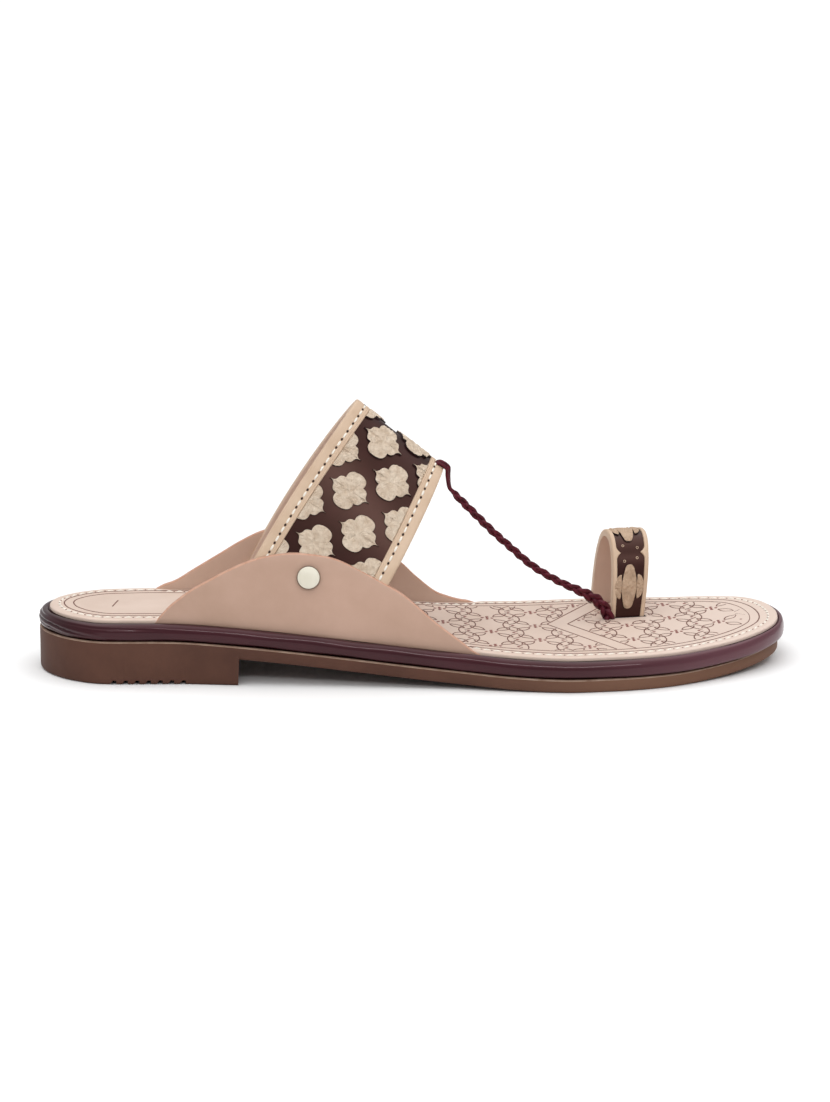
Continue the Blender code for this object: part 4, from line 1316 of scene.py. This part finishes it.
def strap_stitches():
    for name, from_edge in (("rear", 0.0), ("front", 1.0)):
        _, length = strap_turns(2, from_edge)
        count = int(length / STITCH_PITCH)
        turns, _ = strap_turns(count * 2 + 1, from_edge)
        width = strap_width(turns)
        place = STITCH_FROM_EDGE / width
        across = place if from_edge == 0.0 else 1.0 - place
        at = strap_surface(across, turns, np.full_like(turns, BORDER_RAISE - 0.00005))
        way = np.gradient(at, axis=0)
        up = strap_normal(across, turns)
        stitches(f"strap_thread_{name}", at[1::2], way[1::2], up[1::2], STRAP_STITCH, "upper", THREAD)
        # Painted shade in the needle holes: dark ovals sunk just into the border.
        holes = at[::2] - up[::2] * 0.00012
        stitches(f"strap_holes_{name}", holes, way[::2], up[::2], HOLE, "upper", NEEDLE_HOLE_SHADE)


INSOLE_STITCH = (0.0025, 0.00085, 0.0007)
INSOLE_HOLE = (0.0007, 0.0006, 0.0003)
STITCH_SLANT = math.radians(16.0)


def insole_stitches():
    """Thread all round the top sheet, its line drawn in with the sheet's edge where the wings stand."""
    line = inset_line(sheet_inset(STITCH_INSET))
    line = np.vstack([line, line[:1]])
    count = int(run_along(line)[-1] / STITCH_PITCH)
    at = spaced(line, count * 2 + 1)[:-1]
    at = np.column_stack([at, insole_top(at[:, 0]) - 0.00012])
    way = np.roll(at, -1, axis=0) - np.roll(at, 1, axis=0)
    up = np.tile((0.0, 0.0, 1.0), (len(at), 1))
    level, slant = math.cos(STITCH_SLANT), math.sin(STITCH_SLANT)
    slanted = way @ np.array([(level, slant, 0.0), (-slant, level, 0.0), (0.0, 0.0, 1.0)])
    stitches("insole_thread", at[1::2], slanted[1::2], up[1::2], INSOLE_STITCH, "insole", THREAD)
    # Painted shade in the needle holes: small ovals in the etched lines' brown.
    stitches("insole_holes", at[::2], way[::2], up[::2], INSOLE_HOLE, "insole", ETCHED)


# Cords
def ways_beside(path):
    """Two ways square to a path at each of its points."""
    step = unit(np.gradient(path, axis=0))
    aside = unit(np.cross(step, (0.0, 1.0, 0.0)))
    return aside, np.cross(step, aside)


def tube(path, radii, sides, squash=1.0):
    """Points and faces of a closed tube along a path; radii are per point."""
    aside, other = ways_beside(path)
    angle = np.linspace(0.0, 2 * math.pi, sides, endpoint=False)[:, None]
    spokes = np.cos(angle) * aside[:, None] + squash * np.sin(angle) * other[:, None]
    rings = path[:, None] + radii[:, None, None] * spokes
    tip = len(path) * sides
    last = tip - sides
    faces = tube_faces(len(path), sides).tolist()
    for k in range(sides):
        after = (k + 1) % sides
        faces += [[after, k, tip], [last + k, last + after, tip + 1]]
    return np.vstack([rings.reshape(-1, 3), path[:1], path[-1:]]), faces


def braid_line(count):
    edge = strap_point(np.array([1.0]), np.array([0.47]))[0]
    start = edge + np.array([-0.0001, 0.0, -0.00172])
    x = RING_X - BRAID_END_BEHIND
    y = RING_CORNER - BRAID_END_OUT
    end = np.array([x, y, float(insole_low(x)) + 0.0008])
    run, drop = np.array(BRAID_COURSE).T
    return curve_through(start + (end - start) * np.stack([run, run, drop], axis=1), count, False)


PLAIT_LEAD = 0.0132
PLAIT_WIDTH = 0.00082
PLAIT_DEPTH = 0.00046
STRAND_RADIUS = 0.00060
THONG_RADIUS = 0.00068
PLAIT_FROM = 0.045
THONG_APART = 0.00045


def thong_line(path, beside):
    """One thong from its hole in the strap's border, over the edge and down into the plait."""
    turn = 0.472
    width = float(strap_width(np.array([turn]))[0])
    stops = []
    for back, raised in ((0.0036, 0.0), (0.0030, 0.0014), (0.0016, 0.0019), (0.0002, 0.0020)):
        stops.append(strap_surface(np.array([1.0 - back / width]), np.array([turn]), np.array([raised]))[0])
    edge = stops[-1]
    stops.append(edge + (0.0007, 0.0, -0.0010))
    stops.append(0.4 * edge + 0.6 * path[int(0.035 * len(path))] + (0.0006, 0.0, 0.0))
    stops.append(path[int(0.06 * len(path))])
    stops.append(path[int(0.09 * len(path))])
    line = curve_through(stops, 60, False)
    return line + (smooth(np.linspace(1.2, 0.0, 60)) * beside)[:, None] * (0.8, 0.8, 0.6)


def make_braid():
    """A three-strand plait of thin thongs."""
    path = braid_line(460)
    run = run_along(path)
    aside, other = ways_beside(path)
    growth = 1.0 + 0.6 * smooth((run - run[-1] + 0.024) / 0.018) - 0.3 * smooth(1.0 - (run - 0.004) / 0.008)
    begin = int(PLAIT_FROM * len(path))
    parts = []
    for strand in range(3):
        phase = 2 * math.pi * run / PLAIT_LEAD + strand * 2 * math.pi / 3
        swing = PLAIT_WIDTH * np.sin(phase) * growth * smooth((run - PLAIT_FROM * run[-1]) / 0.005)
        sink = PLAIT_DEPTH * np.sin(2 * phase) * growth
        line = path + aside * swing[:, None] + other * sink[:, None]
        radii = STRAND_RADIUS * growth * (1.0 + 0.05 * np.sin(run * 2300.0 + strand))
        parts.append(tube(line[begin:], radii[begin:], 12, 0.82))
    for beside in (-THONG_APART, THONG_APART):
        line = thong_line(path, beside)
        parts.append(tube(line, np.full(len(line), THONG_RADIUS), 10))
    return piece("braid_strands", *joined(parts), [CORD], "braid", "braid", sharp=70.0)


# The toe ring
def ring_line(count):
    """The band's outer line as (reach from the near leg, height over the insole) pairs, legs included."""
    even = np.linspace(0.0, np.pi, count)
    turn = np.pi * (0.5 - 0.5 * np.cos(even)) * 0.35 + even * 0.65
    power = 2.0 / RING_POWER
    reach = np.abs(np.cos(turn)) ** power * np.sign(-np.cos(turn))
    rise = np.abs(np.sin(turn)) ** power
    rise[0] = rise[-1] = 0.0
    reach[0], reach[-1] = -1.0, 1.0
    line = np.stack([0.5 * RING_SPAN * (1.0 + reach), RING_HEIGHT * rise], axis=1)
    return np.vstack([[0.0, -INSOLE_THICKNESS], line, [RING_SPAN, -INSOLE_THICKNESS]])


RING_OUTER = spaced(ring_line(400), 700)
RING_RUN = run_along(RING_OUTER)


def ring_at(run):
    """Line point and outward way at a length along the band from the near leg's foot."""

    def at(place):
        return np.stack([np.interp(place, RING_RUN, RING_OUTER[:, k]) for k in range(2)], axis=-1)

    way = at(run + 0.0003) - at(run - 0.0003)
    return at(run), unit(np.stack([-way[..., 1], way[..., 0]], axis=-1))


def ring_half(height):
    share = np.clip(height / RING_HEIGHT, 0.0, 1.0)
    return 0.5 * (RING_BASE_WIDTH + (RING_TOP_WIDTH - RING_BASE_WIDTH) * share)


def ring_surface(run, along, raised):
    """A point on the band: length from the near foot, length along the shoe, and height over the line."""
    here, out = ring_at(run)
    at = here + out * np.asarray(raised)[..., None]
    across = np.array([-math.sin(RING_YAW), math.cos(RING_YAW)])
    forward = np.array([math.cos(RING_YAW), math.sin(RING_YAW)])
    lean = RING_FORWARD * np.clip(at[..., 1] / RING_HEIGHT, 0.0, 1.0)
    x = RING_X + forward[0] * (along + lean) + across[0] * at[..., 0]
    y = RING_CORNER + forward[1] * (along + lean) + across[1] * at[..., 0]
    return np.stack([x, y, float(insole_top(RING_X)) + at[..., 1]], axis=-1)


RING_STEPS = 300
# Section of the band's border: share of its width inwards, and length over the line
RING_BORDER_SECTION = (
    # inwards, over the line
    (0.0, -0.0006),
    (0.04, -0.00022),
    (0.18, -0.00005),
    (0.42, 0.0),
    (0.75, 0.0),
    (0.93, -0.00005),
    (0.99, -0.0002),
    (1.0, -0.0006),
)
RING_COLUMNS = 8
RING_GROUND = -0.0006
RING_BORDER = 0.0015
RING_POINT = 0.0016
RING_POINT_RUN = 0.0026
RING_MOTIF_RUN = 0.0123
RING_OVAL = (0.0052, 0.0156)
RING_LOBE = (0.0023, 0.0086)
RING_LOBE_FROM = 0.0030
RING_PAD = 0.0006
RING_MOTIF_SHIFT = -0.0004


def ring_motif_runs():
    middle = 0.5 * RING_RUN[-1]
    return np.array([RING_MOTIF_RUN, middle, RING_RUN[-1] - RING_MOTIF_RUN])


def ring_border(run):
    """Width of the band's border, with pointed places half way between its motifs."""
    motifs = ring_motif_runs()
    total = np.full_like(run, RING_BORDER)
    for point in 0.5 * (motifs[1:] + motifs[:-1]):
        near = np.clip(1.0 - np.abs(run - point) / RING_POINT_RUN, 0.0, 1.0)
        total += RING_POINT * near**2.2
    return total


def make_ring():
    """The toe ring: a band with a glossy ground between raised borders."""
    run = np.linspace(0.0, RING_RUN[-1], RING_STEPS)
    half = ring_half(np.interp(run, RING_RUN, RING_OUTER[:, 1]))
    border = ring_border(run)
    inner = half - border
    rows = [(border * share - half, over) for share, over in RING_BORDER_SECTION]
    for share in np.linspace(0.0, 1.0, RING_COLUMNS + 2)[1:-1]:
        rows.append((-inner + 2 * inner * share, RING_GROUND))
    rows += [(half - border * share, over) for share, over in RING_BORDER_SECTION[::-1]]
    rows += [(half * share, -RING_THICKNESS) for share in np.linspace(1.0, -1.0, RING_COLUMNS)]
    edge = len(RING_BORDER_SECTION) - 1
    kinds = np.repeat(
        (ON_BORDER, ON_GROUND, ON_BORDER, ON_LINING, ON_BORDER),
        (edge, RING_COLUMNS + 1, edge + 1, RING_COLUMNS - 1, 1),
    )
    grid = np.stack([ring_surface(run, along, np.full_like(run, over)) for along, over in rows], axis=1)
    return banded("toe_ring_band", grid, kinds, ON_BORDER, [GROUND, BEIGE, LINING], "toe_ring")


def make_ring_motifs():
    """A long oval between two half lobes, on each leg and over the top."""

    def surface(run, along, raised):
        return ring_surface(run, along, RING_GROUND + raised)

    outlines = []
    angle = np.linspace(0.0, 2 * math.pi, 64, endpoint=False)
    for run in ring_motif_runs():
        waist = 1.0 + 0.06 * np.cos(4 * angle)
        middle = np.array([run, RING_MOTIF_SHIFT])
        blunt = np.sign(np.sin(angle)) * np.abs(np.sin(angle)) ** 0.72
        oval = np.stack([0.5 * RING_OVAL[1] * np.cos(angle), 0.5 * RING_OVAL[0] * blunt * waist], axis=1)
        outlines.append((middle + oval, middle))
        for side in (-1, 1):
            across = RING_LOBE[0] * np.sin(angle) * np.where(np.sin(angle) > 0.0, 1.0, 0.12)
            lobe = np.stack([0.5 * RING_LOBE[1] * np.cos(angle), side * (RING_LOBE_FROM + across)], axis=1)
            inside = np.array([run, RING_MOTIF_SHIFT + side * (RING_LOBE_FROM + 0.4 * RING_LOBE[0])])
            outlines.append((middle + lobe, inside))
    return pads("toe_ring_motifs", outlines, surface, "toe_ring", RING_PAD, 23, RING_MOTIF)


# Small embossed rings on the toe ring's ground: run from the pointed place, and length along the shoe
EYELETS = ((0.0018, 0.0026), (-0.0020, 0.0024), (0.0028, -0.0026), (-0.0030, -0.0022))
EYELET_RADIUS = 0.0004
EYELET_WIRE = 0.0001


def make_eyelets():
    motifs = ring_motif_runs()
    angle = np.linspace(0.0, 2 * math.pi, 25)
    aside, ahead = EYELET_RADIUS * np.cos(angle), EYELET_RADIUS * np.sin(angle)
    parts = []
    for point in 0.5 * (motifs[1:] + motifs[:-1]):
        for run, along in EYELETS:
            line = ring_surface(point + run + aside, along + ahead, np.full_like(angle, RING_GROUND))
            parts.append(tube(line, np.full(len(line), EYELET_WIRE), 6))
    return piece("toe_ring_eyelets", *joined(parts), [BEIGE], "toe_ring", "toe_ring", sharp=80.0)


# Rivets
# Section of a rivet's cap: radius, and height over the wing; the first strips of it are bright
RIVET_PROFILE = (
    (0.0, 0.0021), (0.0012, 0.00208), (0.0024, 0.00196), (0.0032, 0.00176), (0.0037, 0.0015),
    (0.00395, 0.0012), (0.0040, 0.0009), (0.0040, 0.0003), (0.0036, 0.0002), (0.0, 0.0002),
)
RIVET_BRIGHT = 4
RIVET_SIDES = 48
RIVET_STEP = 0.001


def make_rivet(name, side, node):
    x = np.array([RIVET_X, RIVET_X + RIVET_STEP, RIVET_X])
    rise = np.array([RIVET_RISE, RIVET_RISE, RIVET_RISE + RIVET_STEP])
    here, ahead, above = wing_outer(side, x, rise)
    out = unit(np.cross(ahead - here, above - here))
    out *= side * np.sign(out[1])
    turned = np.array(Vector(out).to_track_quat("Z", "X").to_matrix())
    angle = np.linspace(0.0, 2 * math.pi, RIVET_SIDES, endpoint=False)
    flat = np.stack([np.cos(angle), np.sin(angle), np.zeros_like(angle)], axis=1)
    rings = [(flat * radius + (0.0, 0.0, high)) @ turned.T for radius, high in RIVET_PROFILE]
    points = here + np.vstack(rings)
    dull = len(RIVET_PROFILE) - 1 - RIVET_BRIGHT
    kinds = np.repeat((0, 1), (RIVET_SIDES * RIVET_BRIGHT, RIVET_SIDES * dull))
    faces = tube_faces(len(RIVET_PROFILE), RIVET_SIDES)
    return piece(name, points, faces, [METAL, METAL_RIM], node, "rivet", kinds, 60.0)


# Stage
# Light from the sky: over these heights on the unit sphere it goes from the first strength to the second
SKY_BAND = (0.50, 0.97)
SKY_LIGHT = (0.42, 2.1)
SOFTBOX_PLACE = (0.15, -1.20, 0.79)
SOFTBOX_SIZE = (1.30, 0.055)
SOFTBOX_POWER = 4.0


def make_stage():
    floor_mesh = bpy.data.meshes.new("floor")
    build = bmesh.new()
    bmesh.ops.create_grid(build, x_segments=1, y_segments=1, size=15.0)
    build.to_mesh(floor_mesh)
    build.free()
    made, _, shader = new_material("pale floor", 0.75, specular=0.15)
    shader.inputs["Base Color"].default_value = (0.93, 0.93, 0.93, 1.0)
    floor_mesh.materials.append(made)
    linked("floor", floor_mesh)
    world = bpy.data.worlds.new("soft white room")
    world.use_nodes = True
    tree = world.node_tree
    where = add(tree, "ShaderNodeTexCoord")
    split = add(tree, "ShaderNodeSeparateXYZ")
    ramp = add(tree, "ShaderNodeMapRange", interpolation_type="SMOOTHSTEP")
    ramp.inputs["From Min"].default_value, ramp.inputs["From Max"].default_value = SKY_BAND
    ramp.inputs["To Min"].default_value, ramp.inputs["To Max"].default_value = SKY_LIGHT
    tree.links.new(where.outputs["Generated"], split.inputs["Vector"])
    tree.links.new(split.outputs["Z"], ramp.inputs["Value"])
    tree.links.new(ramp.outputs["Result"], tree.nodes["Background"].inputs["Strength"])
    tree.nodes["Background"].inputs["Color"].default_value = (1.0, 1.0, 1.0, 1.0)
    bpy.context.scene.world = world
    light = bpy.data.lights.new("softbox", "AREA")
    light.shape = "RECTANGLE"
    light.size, light.size_y = SOFTBOX_SIZE
    light.energy = SOFTBOX_POWER
    aim(linked("softbox", light), SOFTBOX_PLACE, Vector(CAMERA_TARGET) - Vector(SOFTBOX_PLACE))
    bpy.context.scene.view_settings.view_transform = "Standard"


def make_camera():
    data = bpy.data.cameras.new("camera")
    data.sensor_width = SENSOR
    data.lens = FOCAL_PIXELS / IMAGE_HEIGHT * SENSOR
    camera = linked("camera", data)
    a, e = CAMERA_AZIMUTH, CAMERA_ELEVATION
    back = Vector((math.sin(a) * math.cos(e), -math.cos(a) * math.cos(e), math.sin(e)))
    aim(camera, Vector(CAMERA_TARGET) + back * CAMERA_DISTANCE, -back)
    bpy.context.scene.camera = camera


make_camera()
make_stage()
make_outsole()
make_rand()
make_insole()
make_wing("wing_lateral", LATERAL, WING_TOP_LATERAL)
make_wing("wing_medial", MEDIAL, WING_TOP_MEDIAL)
make_strap()
make_motifs()
strap_stitches()
insole_stitches()
make_etching()
make_slots()
make_braid()
make_ring()
make_ring_motifs()
make_eyelets()
make_rivet("rivet_cap_lateral", LATERAL, "rivet_lateral")
make_rivet("rivet_cap_medial", MEDIAL, "rivet_medial")

bpy.context.view_layer.update()
